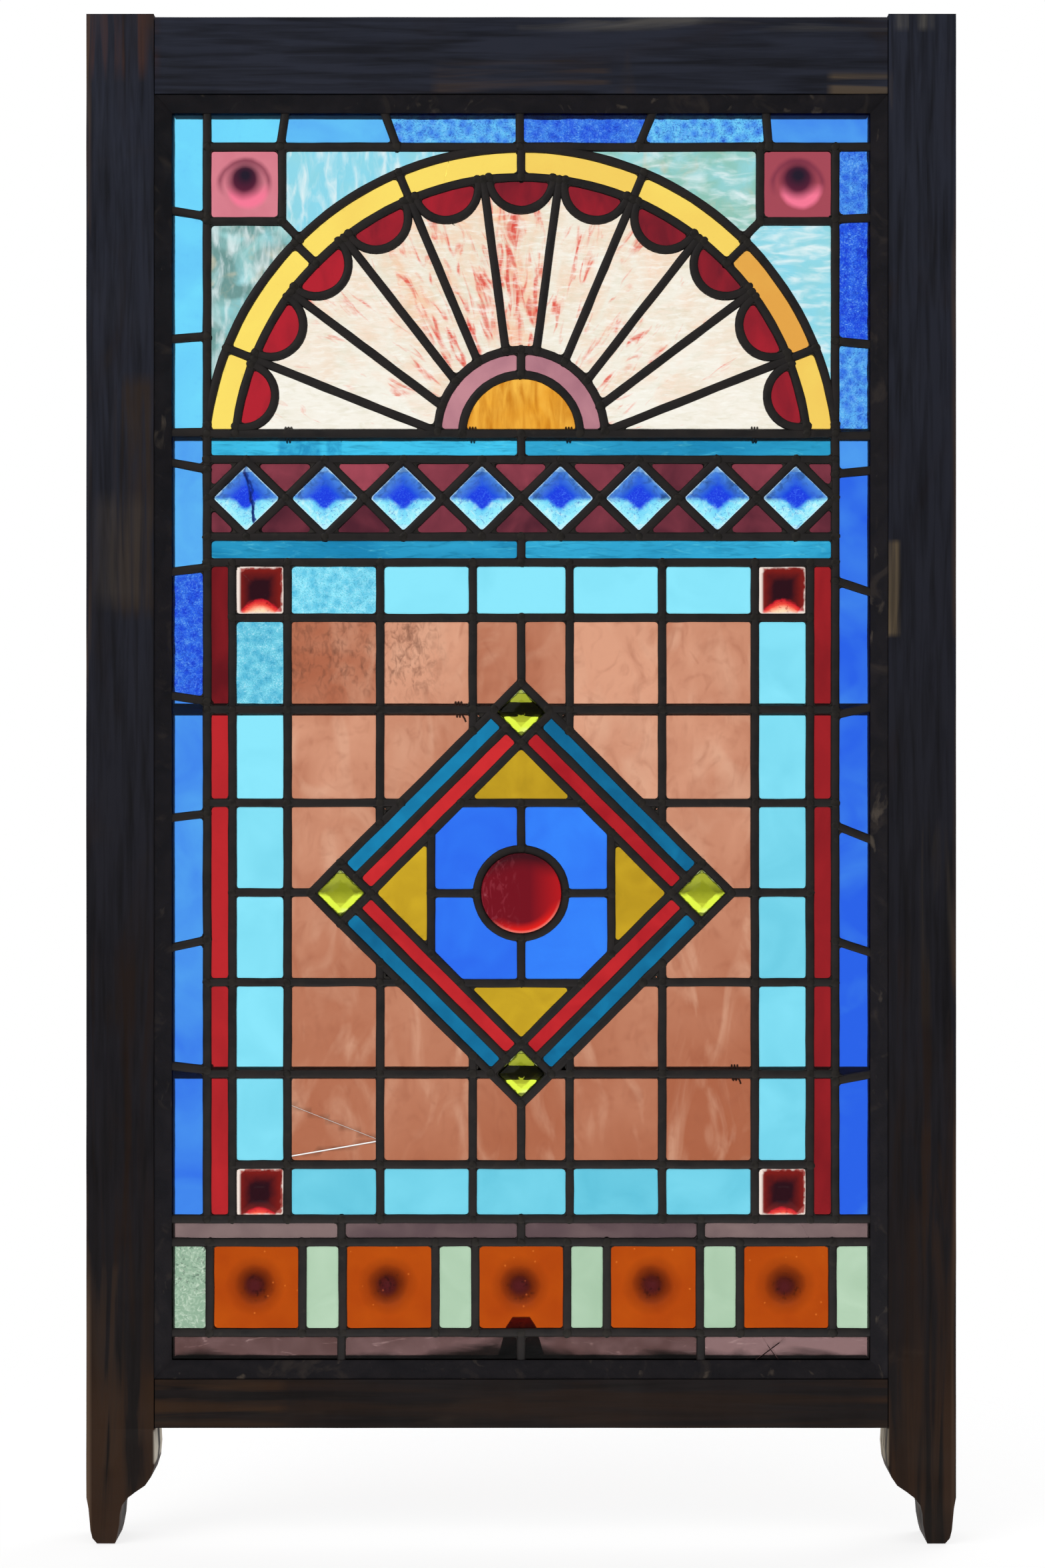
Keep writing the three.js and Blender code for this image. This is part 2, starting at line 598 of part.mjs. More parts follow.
function blueBorder() {
  const outer = paneBox(
    -PANEL.x + EDGE, Z_FIELD_BOTTOM + CLEAR, PANEL.x - EDGE, PANEL.top - EDGE);
  const reach = X_BORDER + CLEAR;
  return outer.subtract(anyDepth(rectangle(-reach, 0, reach, Z_BORDER + CLEAR)));
}

function spandrel(side) {
  const { x, z } = RONDEL_CELL;
  const corner = rectangle(0, ARCH.z, side * (X_BORDER - CLEAR), Z_BORDER - CLEAR);
  const rondel = rectangle(
    side * (x - CLEAR), z - CLEAR, side * X_BORDER, Z_BORDER);
  return pane(corner)
    .subtract(anyDepth(rondel))
    .subtract(anyDepth(circle(0, ARCH.z, ARCH.outer + CLEAR, ARCH_SIDES)));
}

// A square of glass with a round boss pressed in the middle.
function rondel(x0, z0, x1, z1) {
  const [cx, cz] = [(x0 + x1) / 2, (z0 + z1) / 2];
  const middle = GLASS_BACK - GLASS / 2;
  const boss = [
    [0, GLASS_FRONT - BOSS.crown], [BOSS.radius * BOSS.table, GLASS_FRONT - BOSS.rim],
    [BOSS.radius, middle], [0, middle],
  ];
  return paneBox(x0, z0, x1, z1).add(button(cx, cz, boss, SCALLOP_SIDES));
}

// A four-sided jewel: flange held by the lead, sloping facets, flat table.
function jewel(cx, cz, reach, turn) {
  const corner = reach * Math.SQRT2;
  const foot = corner - JEWEL.margin;
  const profile = [
    [0, GLASS_FRONT - CROWN], [corner * JEWEL.table, GLASS_FRONT - CROWN],
    [foot, GLASS_FRONT - CROWN * JEWEL.shoulder], [foot, GLASS_FRONT],
    [corner, GLASS_FRONT], [corner, GLASS_BACK], [0, GLASS_BACK],
  ];
  return button(cx, cz, profile, 4, turn);
}

// A flat ring of glass.
const ring = (cx, cz, near, far, sides) =>
  pane(circle(cx, cz, far, sides)).subtract(anyDepth(circle(cx, cz, near, sides)));

function scallopGlass() {
  const lobes = scallopPlaces()
    .map(([x, z]) => pane(circle(x, z, SCALLOP.radius - CLEAR, SCALLOP_SIDES)));
  const limit = anyDepth(circle(0, ARCH.z, ARCH.inner - CLEAR, ARCH_SIDES));
  const link = ring(0, ARCH.z, ARCH.inner - CLEAR - 2 * LINK, ARCH.inner - CLEAR, ARCH_SIDES);
  const lowest = Math.min(...scallopPlaces().map(([, z]) => z));
  return join([...lobes, link]).intersect(limit)
    .intersect(block(-SASH_HALF, SASH_HALF, FRONT, 0, lowest - SCALLOP.radius + CLEAR, STILE_TOP));
}

function rayGlass() {
  const limit = ARCH.inner - CLEAR - 2 * LINK - GAP;
  let glassSheet = pane(circle(0, ARCH.z, limit, ARCH_SIDES))
    .intersect(aboveFanGlass())
    .subtract(anyDepth(circle(0, Z_FAN, MAUVE.outer + CLEAR, SMALL_SIDES)));
  for (const [x, z] of scallopPlaces()) {
    const bite = circle(x, z, SCALLOP.radius + CLEAR, SCALLOP_SIDES);
    glassSheet = glassSheet.subtract(anyDepth(bite));
  }
  const last = scallopPlaces().at(-1);
  return glassSheet.intersect(block(-last[0], last[0], FRONT, 0, Z_FAN, STILE_TOP));
}

// Half sizes of the jewels, and where their middles are.
const BAND_JEWEL = (Z_STRIP_A - Z_STRIP_B) / 2 / Math.SQRT2 - HALF + COVER;
const CORNER_JEWEL = (X_RUBY - COLUMNS[2]) / 2 - HALF + COVER;
const DIAMOND_JEWEL = (DIAMOND.outer - DIAMOND.inner) / 2 - HALF + COVER;
const bandJewels = () => Array.from({ length: BAND_JEWELS }, (_, i) =>
  [-X_BORDER + (i + 0.5) * JEWEL_PITCH, (Z_STRIP_A + Z_STRIP_B) / 2]);

function cornerJewels() {
  const x = (X_RUBY + COLUMNS[2]) / 2;
  const rows = [(Z_FIELD_TOP + ROWS[0]) / 2, (Z_FIELD_BOTTOM + ROWS.at(-1)) / 2];
  return rows.flatMap((z) => [[-x, z], [x, z]]);
}

function diamondJewels() {
  const reach = DIAMOND.middle * Math.SQRT2;
  return [[0, reach], [reach, 0], [0, -reach], [-reach, 0]].map(([x, z]) => [x, DIAMOND.z + z]);
}

function burgundyBand() {
  let sheet = paneBox(
    -X_BORDER + CLEAR, Z_STRIP_B + CLEAR, X_BORDER - CLEAR, Z_STRIP_A - CLEAR);
  for (const [x, z] of bandJewels()) {
    sheet = sheet.subtract(anyDepth(diamond(x, z, BAND_JEWEL + GAP)));
  }
  return sheet;
}

function lightCyanBorder() {
  let sheet = paneBox(
    -X_RUBY + CLEAR, Z_FIELD_BOTTOM + CLEAR, X_RUBY - CLEAR, Z_FIELD_TOP - CLEAR);
  const inner = COLUMNS[2] + CLEAR;
  sheet = sheet.subtract(
    anyDepth(rectangle(-inner, ROWS.at(-1) - CLEAR, inner, ROWS[0] + CLEAR)));
  for (const [x, z] of cornerJewels()) {
    const reach = CORNER_JEWEL + GAP;
    sheet = sheet.subtract(anyDepth(rectangle(x - reach, z - reach, x + reach, z + reach)));
  }
  return sheet;
}

function peachField() {
  const x = COLUMNS[2] - CLEAR;
  return paneBox(-x, ROWS.at(-1) + CLEAR, x, ROWS[0] - CLEAR)
    .subtract(anyDepth(diamond(0, DIAMOND.z, DIAMOND.outer + CLEAR)));
}

// A strip that runs round the diamond, parted by the jewels on its corners.
function diamondStrip(inner, outer) {
  let sheet = pane(diamond(0, DIAMOND.z, outer - CLEAR))
    .subtract(anyDepth(diamond(0, DIAMOND.z, inner + CLEAR)));
  for (const [x, z] of diamondJewels()) {
    sheet = sheet.subtract(anyDepth(diamond(x, z, DIAMOND_JEWEL + GAP)));
  }
  return sheet;
}

function goldTriangle(quarter) {
  const apex = DIAMOND.inner * Math.SQRT2 - CLEAR * Math.SQRT2;
  const base = OCTAGON + CLEAR;
  const points = [[-(apex - base), base], [apex - base, base], [0, apex]];
  const turn = [([x, z]) => [x, z], ([x, z]) => [z, -x], ([x, z]) => [-x, -z], ([x, z]) => [-z, x]];
  return pane(points.map(turn[quarter]).map(([x, z]) => [x, DIAMOND.z + z]));
}

function octagonGlass() {
  const reach = OCTAGON - CLEAR;
  return pane(diamond(0, DIAMOND.z, DIAMOND.inner - CLEAR))
    .intersect(anyDepth(rectangle(-reach, DIAMOND.z - reach, reach, DIAMOND.z + reach)))
    .subtract(anyDepth(circle(0, DIAMOND.z, ROUNDEL + CLEAR, SMALL_SIDES)));
}

function roundelGlass() {
  const radius = ROUNDEL - CLEAR;
  const profile = [
    [0, GLASS_FRONT - CROWN],
    [radius * ROUNDEL_DOME.table, GLASS_FRONT - CROWN * ROUNDEL_DOME.crown],
    [radius - ROUNDEL_DOME.margin, GLASS_FRONT],
    [radius, GLASS_FRONT], [radius, GLASS_BACK], [0, GLASS_BACK],
  ];
  return button(0, DIAMOND.z, profile, SMALL_SIDES);
}

// Pale green strips between the orange squares, joined by a strip under the lead above them.
function paleGreenComb() {
  const end = PANEL.x - EDGE;
  const edges = [...ORANGE_COLUMNS, end + CLEAR];
  const top = Z_LILAC - CLEAR;
  const teeth = [];
  for (let i = 0; i < edges.length; i += 2) {
    for (const side of [-1, 1]) {
      const [x0, x1] = [edges[i] + CLEAR, edges[i + 1] - CLEAR].map((x) => side * x);
      teeth.push(paneBox(Math.min(x0, x1), Z_ORANGE + CLEAR, Math.max(x0, x1), top));
    }
  }
  return join([...teeth, paneBox(-end, top - LINK, end, top)]);
}

function orangeSquares() {
  const edges = bothWays(ORANGE_COLUMNS);
  const squares = [];
  for (let i = 0; i < edges.length; i += 2) {
    squares.push(rondel(
      edges[i] + CLEAR, Z_ORANGE + CLEAR, edges[i + 1] - CLEAR, Z_LILAC - CLEAR - LINK - GAP));
  }
  return squares;
}

// ---- Assembly --------------------------------------------------------------------------------

const sash = new THREE.Group();
sash.position.z = -MOUNT_HEIGHT;
const place = (name, solid, material) => {
  const mesh = toMesh(name, solid, material);
  sash.add(mesh);
  return mesh;
};
const placeEach = (name, solids, material) =>
  solids.forEach((solid, i) => place(`${name}_${i + 1}`, solid, material));

// The left stile is the right one in a mirror.
const stile = rightStile();
place('stile_right', stile, timber);
place('stile_left', stile, timber).scale.x = -1;
place('rail_top', railSolid(TOP_RAIL), timber);
place('rail_bottom', railSolid(BOTTOM_RAIL), timber);
place('putty', puttyRing(), putty);
placeEach('saddle_bar',
  SADDLE_HEIGHTS.map((z) => saddleBar(z, SADDLE_BAR, SIGHT + SADDLE_SEAT)), iron);
place('sash_keep', sashKeep(), iron);
place('lead_cames', leadNetwork(), lead);

place('glass_border_blue', blueBorder(), glass(0x3d7dff));
place('glass_spandrel_left', spandrel(-1), glass(0xa9dfe0));
place('glass_spandrel_right', spandrel(1), glass(0xa9dfe0));
for (const [word, side] of [['left', -1], ['right', 1]]) {
  const [near, far] = [RONDEL_CELL.x + CLEAR, X_BORDER - CLEAR];
  const [x0, x1] = side < 0 ? [-far, -near] : [near, far];
  place(`rondel_pink_${word}`,
    rondel(x0, RONDEL_CELL.z + CLEAR, x1, Z_BORDER - CLEAR), glass(0xc05c74));
}
place('glass_arch_yellow',
  ring(0, ARCH.z, ARCH.inner + CLEAR, ARCH.outer - CLEAR, ARCH_SIDES).intersect(aboveFanGlass()),
  glass(0xf9dc5c));
place('glass_scallops_ruby', scallopGlass(), glass(0xa00d22));
place('glass_rays_opal', rayGlass(), glass(0xf2ead8));
place('glass_mauve_ring',
  ring(0, Z_FAN, MAUVE.inner + CLEAR, MAUVE.outer - CLEAR, SMALL_SIDES).intersect(aboveFanGlass()),
  glass(0xb27896));
place('glass_amber_half_round',
  pane(circle(0, Z_FAN, MAUVE.inner - CLEAR, SMALL_SIDES)).intersect(aboveFanGlass()),
  glass(0xf0a820));

const strip = (low, high) => paneBox(-X_BORDER + CLEAR, low + CLEAR, X_BORDER - CLEAR, high - CLEAR);
place('glass_strip_cyan_upper', strip(Z_STRIP_A, Z_FAN), glass(0x1fa8cb));
place('glass_strip_cyan_lower', strip(Z_FIELD_TOP, Z_STRIP_B), glass(0x1fa8cb));
place('glass_band_burgundy', burgundyBand(), glass(0x7a2038));
placeEach('jewel_blue', bandJewels().map(([x, z]) => jewel(x, z, BAND_JEWEL, 0)), glass(0x1f4be0));

for (const [word, side] of [['left', -1], ['right', 1]]) {
  const [x0, x1] = [side * (X_RUBY + CLEAR), side * (X_BORDER - CLEAR)].sort((a, b) => a - b);
  place(`glass_strip_ruby_${word}`,
    paneBox(x0, Z_FIELD_BOTTOM + CLEAR, x1, Z_FIELD_TOP - CLEAR), glass(0xc01e28));
}
place('glass_border_light_cyan', lightCyanBorder(), glass(0x7fe3fa));
placeEach('jewel_ruby',
  cornerJewels().map(([x, z]) => jewel(x, z, CORNER_JEWEL, Math.PI / 4)), glass(0x8a0c12));
place('glass_field_peach', peachField(), glass(0xc98469));

place('glass_diamond_teal', diamondStrip(DIAMOND.middle, DIAMOND.outer), glass(0x0e84ac));
place('glass_diamond_red', diamondStrip(DIAMOND.inner, DIAMOND.middle), glass(0xcc1a22));
placeEach('jewel_green',
  diamondJewels().map(([x, z]) => jewel(x, z, DIAMOND_JEWEL, 0)), glass(0xa9be1b));
placeEach('glass_gold_triangle', [0, 1, 2, 3].map(goldTriangle), glass(0xc9a51e));
place('glass_octagon_blue', octagonGlass(), glass(0x2a66f5));
place('roundel_ruby', roundelGlass(), glass(0x9e0812));

const level = (low, high) => paneBox(-PANEL.x + EDGE, low, PANEL.x - EDGE, high);
place('glass_row_lilac_upper', level(Z_LILAC + CLEAR, Z_FIELD_BOTTOM - CLEAR), glass(0x7d6273));
place('glass_row_lilac_lower', level(PANEL.bottom + EDGE, Z_ORANGE - CLEAR), glass(0x8b7585));
place('glass_row_pale_green', paleGreenComb(), glass(0xa9d6bc));
placeEach('rondel_orange', orangeSquares(), glass(0xc6500a));

export default sash;
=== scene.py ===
"""A leaded stained glass upper sash, dressed for its portrait.

Everything is modelled in the sash's own millimetres: X across, Y in depth with the putty side at
-38 and the flat back at 0, and Z up from the tips of the horns. A finished piece is moved to the
frame, in metres, by one matrix.
"""
import functools
import itertools
import math
import random

import bmesh
import bpy
from mathutils import Matrix, Vector, geometry, noise


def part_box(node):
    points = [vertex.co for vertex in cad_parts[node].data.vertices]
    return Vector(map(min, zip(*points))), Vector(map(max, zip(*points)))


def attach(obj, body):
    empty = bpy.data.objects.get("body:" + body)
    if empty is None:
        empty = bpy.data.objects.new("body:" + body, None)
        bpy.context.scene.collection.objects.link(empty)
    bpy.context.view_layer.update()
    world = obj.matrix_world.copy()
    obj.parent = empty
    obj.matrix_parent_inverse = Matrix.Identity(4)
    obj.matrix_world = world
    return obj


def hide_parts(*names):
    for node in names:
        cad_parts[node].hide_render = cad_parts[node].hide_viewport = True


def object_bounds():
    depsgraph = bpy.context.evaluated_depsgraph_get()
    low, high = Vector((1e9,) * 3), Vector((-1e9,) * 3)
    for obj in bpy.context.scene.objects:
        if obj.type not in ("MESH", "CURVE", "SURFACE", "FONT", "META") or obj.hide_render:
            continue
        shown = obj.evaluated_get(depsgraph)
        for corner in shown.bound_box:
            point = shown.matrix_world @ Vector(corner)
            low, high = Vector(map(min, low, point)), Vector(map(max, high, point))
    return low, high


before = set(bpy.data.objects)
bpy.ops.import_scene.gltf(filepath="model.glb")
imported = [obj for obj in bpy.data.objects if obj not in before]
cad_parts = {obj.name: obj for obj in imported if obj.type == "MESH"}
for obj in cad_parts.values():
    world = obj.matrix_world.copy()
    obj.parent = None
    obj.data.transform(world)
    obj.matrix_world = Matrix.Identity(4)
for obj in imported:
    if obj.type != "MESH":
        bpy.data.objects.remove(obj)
CAD_LOW, CAD_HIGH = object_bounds()
scene = bpy.context.scene

MM = 0.001
TO_FRAME = Matrix.Translation((0, 0, CAD_LOW.z)) @ Matrix.Scale(MM, 4)
TO_MM = TO_FRAME.inverted()

# ---- Sizes of the leaded panel, in millimetres -----------------------------------------------

CAME_HALF = 3.175
CROWN_FRONT = 2.0  # how far the rounded lead stands off the glass, in front and behind
CROWN_BACK = 1.6
GLASS_FRONT = -24.6
GLASS_THICK = 2.6
GLASS_BACK = GLASS_FRONT + GLASS_THICK
CLEAR = 1.1  # edge of a pane to the middle of its lead
JEWEL_STANDS = 5.4
GROOVE_DEPTH = 1.1
BOSS_RADIUS = 17

EDGE = {"x": 265.325, "top": 1061.325, "bottom": 125.675}  # middle of the outermost lead
Z_BORDER = 1030
Z_FAN = 817.8
Z_STRIP_A = 798.7
Z_STRIP_B = 741.6
Z_BAND = (Z_STRIP_A + Z_STRIP_B) / 2
Z_FIELD_TOP = 722.5
Z_FIELD_BOTTOM = 236.7
Z_LILAC = 219.5
Z_ORANGE = 152.6
X_BORDER = 232.5
X_RUBY = 213.8
COLUMNS = [35.8, 104.4, 173]
ROWS = [681.6, 613.7, 544.6, 478.2, 411.8, 344.2, 276.9]
BORDER_TOP = [(-173.5, -178.4), (-103.4, -92), (-1, -1), (100, 87), (180.8, 183.3)]
BORDER_LEFT = [
    (984, 978.5), (887.4, 889.8), (818.8, 818.8), (797.7, 791.4), (714.9, 718.8),
    (625, 620), (533, 536.5), (436, 443.5), (350.8, 347),
]
BORDER_RIGHT = [
    (978, 976.6), (883, 886.4), (816.3, 816.3), (791.4, 787.9), (698.7, 709),
    (616.9, 609.6), (515, 528), (431.7, 442.5), (345, 339),
]
# How deep the blue is in each pane, in the order of `border_cells`
BORDER_TONES = [
    0, 0.37, 0.3, 0.85, 0.22, 0.7,
    0.02, 0.1, 0.08, 0.54, 0.5, 0.9, 0.74, 0.7, 0.76, 0.85,
    0.72, 1.1, 0.45, 0.72, 0.92, 0.9, 0.96, 0.98, 1, 1,
]
# How deep the peach is in each quarry, in the order of `peach_cells`
PEACH_TONES = [
    0.55, 0.15, 0.75, 0.75, 0, 0.35,
    0.5, 0.45, 0.4, 0.3, 0.1, 0.4,
    0.4, 0.4, 0.4, 0.4,
    0.45, 0.5, 0.5, 0.45,
    0.5, 0.3, 0.4, 0.5, 0.4, 0.6,
    0.6, 0.2, 0.5, 0.6, 0.45, 1,
]
ARCH = {"z": 794.8, "outer": 234.45, "inner": 212.8}
SCALLOPS = 11
SCALLOP_STEP = math.radians(15.2)
SCALLOP = {"at": 212.2, "radius": 23.8}
YELLOWS = 8
YELLOW_STEP = SCALLOP_STEP * 1.5
FAN_REACH = math.radians(83.2)
MAUVE = {"outer": 62, "inner": 43.6}
RONDEL_CELL = (177, 975)
SPANDREL_START = 46
SPANDREL_FOOT = math.radians(76)
BAND_JEWELS = 8
JEWEL_PITCH = 2 * X_BORDER / BAND_JEWELS
DIAMOND = {"z": 477.8, "outer": 110.3, "middle": 94.5, "inner": 78.7}
OCTAGON = 66.7
ROUNDEL = 32.7
# How far out each ring of the roundel's face is, and how far it stands off the flat glass
ROUNDEL_PROFILE = [(0, 2.6), (9, 2.8), (17, 3.6), (22.5, 5), (26, 5.2), (28.4, 4.2), (29.3, 1.8),
                   (29.6, 0)]
ORANGE_COLUMNS = [34, 63.5, 132.2, 162, 230.5]
LILAC_SPLIT = 133
SADDLE_BARS = [818, 614, 344]
WIRES = [-X_BORDER, -COLUMNS[2], -COLUMNS[0], COLUMNS[0], COLUMNS[2], X_BORDER]
LOOSE_WIRES = [(-46, 614), (158, 344)]
# Each crack: the number of its pane, its two ends, its width, and whether it goes right through
YELLOW_CRACKS = [(3, (-57.4, 1003.5), (-52.6, 1023), 0.7, False)]
OPAL_CRACKS = [(4, (-56, 976), (-29, 960), 0.6, False), (5, (-17, 957), (20, 965), 0.6, False)]
UPPER_LILAC_CRACKS = [(3, (206, 235), (214, 221.5), 0.8, False)]
LOWER_LILAC_CRACKS = [(3, (172, 131), (196, 149), 0.9, False),
                      (3, (178, 150), (192, 130), 0.9, False)]

# ---- Finishes --------------------------------------------------------------------------------


def hue(code):
    """The linear colour of a hexadecimal screen colour."""
    channels = [int(code[i:i + 2], 16) / 255 for i in (0, 2, 4)]
    return [c / 12.92 if c < 0.04045 else ((c + 0.055) / 1.055) ** 2.4 for c in channels] + [1]


def level(z):
    """A height of the sash in the frame's own metres."""
    return z * MM + CAD_LOW.z


class Finish:
    """A material being put together: `shade` is its colour so far, and coats lie over it.

    Its patterns read Object coordinates.
    """

    def __init__(self, name, **plain):
        self.material = bpy.data.materials.new(name)
        self.material.use_nodes = True
        self.tree = self.material.node_tree
        self.shader = self.tree.nodes["Principled BSDF"]
        self.place = self.tree.nodes.new("ShaderNodeTexCoord").outputs["Object"]
        self.shade = None
        for socket, value in plain.items():
            self.shader.inputs[socket.replace("_", " ")].default_value = value

    def feed(self, socket, value):
        """Gives a socket a number or a colour, or links another socket to it."""
        if isinstance(value, bpy.types.NodeSocket):
            self.tree.links.new(value, socket)
        else:
            socket.default_value = value

    def put(self, kind, inputs, **settings):
        node = self.tree.nodes.new("ShaderNode" + kind)
        for name, value in settings.items():
            setattr(node, name, value)
        for key, value in inputs.items():
            self.feed(node.inputs[key], value)
        return node

    def where(self, stretch=(1, 1, 1), turn=(0, 0, 0), source=None):
        return self.put("Mapping", {
            "Vector": source or self.place, "Scale": stretch, "Rotation": turn}).outputs[0]

    def noise(self, size, detail=3, stretch=(1, 1, 1), turn=(0, 0, 0), source=None, swirl=0):
        """Noise whose lumps are about `size` millimetres, or `size` units of another source."""
        unit = 1 if source else MM
        return self.put("TexNoise", {
            "Vector": self.where(stretch, turn, source), "Scale": 1 / (size * unit),
            "Detail": detail, "Distortion": swirl}).outputs["Fac"]

    def cells(self, size):
        return self.put("TexVoronoi", {
            "Vector": self.where(), "Scale": 1 / (size * MM)}).outputs["Distance"]

    def attribute(self, name):
        return self.put("Attribute", {}, attribute_name=name).outputs["Fac"]

    def uv(self):
        return self.tree.nodes["Texture Coordinate"].outputs["UV"]

    def split(self, vector):
        return self.put("SeparateXYZ", {0: vector}).outputs

    def calc(self, operation, a, b=0.0, clamp=False):
        return self.put("Math", {0: a, 1: b}, operation=operation, use_clamp=clamp).outputs[0]

    def sum(self, *terms):
        return functools.reduce(lambda a, b: self.calc("ADD", a, b), terms)

    def times(self, *terms):
        return functools.reduce(lambda a, b: self.calc("MULTIPLY", a, b), terms)

    def off(self, value, middle):
        """How far a value is from `middle`, either way."""
        return self.calc("ABSOLUTE", self.calc("SUBTRACT", value, middle))

    def between(self, value, low, high, most=1.0, least=0.0):
        """`least` where a value is `low`, and `most` where it is `high`."""
        return self.put("MapRange", {
            "Value": value, "From Min": low, "From Max": high,
            "To Min": least, "To Max": most}).outputs["Result"]

    def patches(self, low, high, most, *pattern, **more):
        """Patches of noise, with soft edges where it passes from `low` to `high`."""
        return self.between(self.noise(*pattern, **more), low, high, most)

    def box(self, x0, z0, x1, z1, soft):
        """1 inside a rectangle of the sash given in millimetres, fading over `soft` outside."""
        middle = (-(x0 + x1) / 2 * MM, 0, -level((z0 + z1) / 2))
        moved = self.put("VectorMath", {0: self.place, 1: middle}, operation="ADD").outputs[0]
        x, _, z = self.split(moved)
        return self.times(*(
            self.between(self.calc("ABSOLUTE", way), half * MM, (half + soft) * MM, 0, 1)
            for way, half in ((x, abs(x1 - x0) / 2), (z, abs(z1 - z0) / 2))))

    def blend(self, factor, a, b, how="MIX"):
        node = self.put("Mix", {"Factor": factor}, data_type="RGBA", blend_type=how)
        for socket, value in zip((s for s in node.inputs if s.type == "RGBA"), (a, b)):
            self.feed(socket, value)
        return next(s for s in node.outputs if s.type == "RGBA")

    def ground(self, code, other, much):
        """Starts the colour as a blend of two."""
        self.shade = self.blend(much, hue(code), hue(other))

    def coat(self, code, much, how="MIX"):
        """Lays a colour over the shade so far."""
        self.shade = self.blend(much, self.shade, hue(code), how)

    def grime(self, size, most):
        """Dirt along the edges of a pane."""
        self.coat("1c150f", self.times(self.attribute("edge"), self.between(
            self.noise(size, 3), 0.3, 0.7, most, 0.1)))

    def gloss(self, source):
        self.feed(self.shader.inputs["Roughness"], source)

    def done(self, height, strength, distance):
        """Gives the shader its colour and its fine bumps."""
        bump = self.put("Bump", {
            "Height": height, "Strength": strength, "Distance": distance * MM})
        self.feed(self.shader.inputs["Normal"], bump.outputs[0])
        self.feed(self.shader.inputs["Base Color"], self.shade)
        return self.material


GLASS_PLAIN = {"Transmission_Weight": 1.0, "Roughness": 0.12, "IOR": 1.32, "Metallic": 0.0}


def stained(name, light, deep, size, stretch=(1, 1, 1), turn=(0, 0, 0), vary=0.5, seeds=0.12,
            edge_dirt=0.55, extra=None):
    """Coloured glass between two shades: a tone for each pane, clouds in it, dirt at its edges."""
    made = Finish(name, **GLASS_PLAIN)
    clouds = made.noise(size, 4, stretch, turn, swirl=0.6)
    tone = made.sum(made.attribute("tone"), made.between(clouds, 0.25, 0.75, vary, -vary))
    made.ground(light, deep, made.calc("ADD", tone, clamp=True))
    if extra:
        extra(made)
    made.coat(deep, made.patches(0.62, 0.75, seeds, 3.5, 2))
    made.coat(deep, made.times(made.attribute("worked"), made.between(
        made.cells(7), 0.1, 0.75, 0, 0.75)), "MULTIPLY")
    made.grime(9, edge_dirt)
    return made.done(made.noise(6, 2, stretch, turn), 0.25, 0.3)


def opal_streaks(made):
    """Salmon and red dragged along each ray, more where its tone is high, with cross ripples."""
    along, much = made.uv(), made.attribute("tone")
    warm = made.patches(0.4, 0.66, 0.75, 1.9, 3, (1, 0.5, 1), source=along, swirl=0.8)
    made.coat("fbc49c", made.times(warm, made.between(much, 0, 0.8)))
    patch = made.noise(2.8, 2, (1, 0.4, 1), source=along)
    drag = made.sum(made.noise(1, 3, (1.5, 0.34, 1), source=along, swirl=1.1),
                    made.between(patch, 0.3, 0.7, 0.14, -0.14),
                    made.between(much, 0, 1, 0.05, -0.2))
    made.coat("f47c66", made.between(drag, 0.5, 0.66, 0.75))
    made.coat("dd3c30", made.between(drag, 0.58, 0.74, 0.9))
    made.coat("dcd6bc", made.patches(0.5, 0.7, 0.45, 8, 4, (0.5, 1, 1.6), (0, 0.5, 0), swirl=1))
    made.coat("fffdf4", made.patches(
        0.5, 0.68, 0.75, 5, 3, (0.5, 1, 1.9), (0, 0.35, 0), swirl=0.8))


def murk_and_ripples(murk, stretch):
    """Cloudy grey-green where the pane's tone is high, under pale ripples."""
    def lay(made):
        much = made.attribute("tone")
        made.coat(murk, made.times(made.patches(0.3, 0.55, 1, 24, 4, swirl=0.8), much))
        made.coat("d2cbb2", made.times(made.patches(0.56, 0.74, 0.75, 17, 4, swirl=1), much))
        made.coat("ecf9fa", made.patches(0.47, 0.72, 0.85, 10, 3, stretch, swirl=0.7))
    return lay


def squiggles(size, dark, most, pale):
    """Crazed dark and light threads on the hammered panes."""
    def lay(made):
        fine, much = made.noise(size, 4, swirl=2.5), made.attribute("worked")
        made.coat(dark, made.times(much, made.between(fine, 0.55, 0.63, most)))
        made.coat(pale, made.times(much, made.between(fine, 0.45, 0.38, 0.6)))
    return lay


def amber_streaks(made):
    made.coat("c97a10", made.patches(0.4, 0.7, 1, 9, 4, (1.6, 1, 0.3), swirl=0.8))


# Places on the glass that have a mark of their own: x0, z0, x1, z1 and softness
CYAN_BRUISES = [(-178, Z_STRIP_A, -150, Z_FAN, 3), (-142, Z_STRIP_A, -135, Z_FAN, 3)]
SPECKLED_QUARRY = (-172, 640, -80, 681, 30)
NEAR_KEEP = (-30, 120, 34, 150, 40)
END_PANE = (-265, 150, -230, 222, 3)
END_PANE_TOP = (-265, 186, -230, 218, 8)


def water_lines(made):
    """Faint wavy lines in the cyan strips, and the bruises in the upper one."""
    made.coat("0a6f94", made.patches(0.52, 0.7, 0.6, 6, 3, (0.3, 1, 1.8), swirl=1.2))
    made.coat("6fd8ee", made.patches(0.62, 0.72, 0.5, 11, 2, (0.4, 1, 1.5), swirl=2))
    for bruise in CYAN_BRUISES:
        made.coat("1583b8", made.times(made.box(*bruise), made.between(
            made.noise(7, 4, swirl=1), 0.35, 0.6, 0.8, 0.2)))


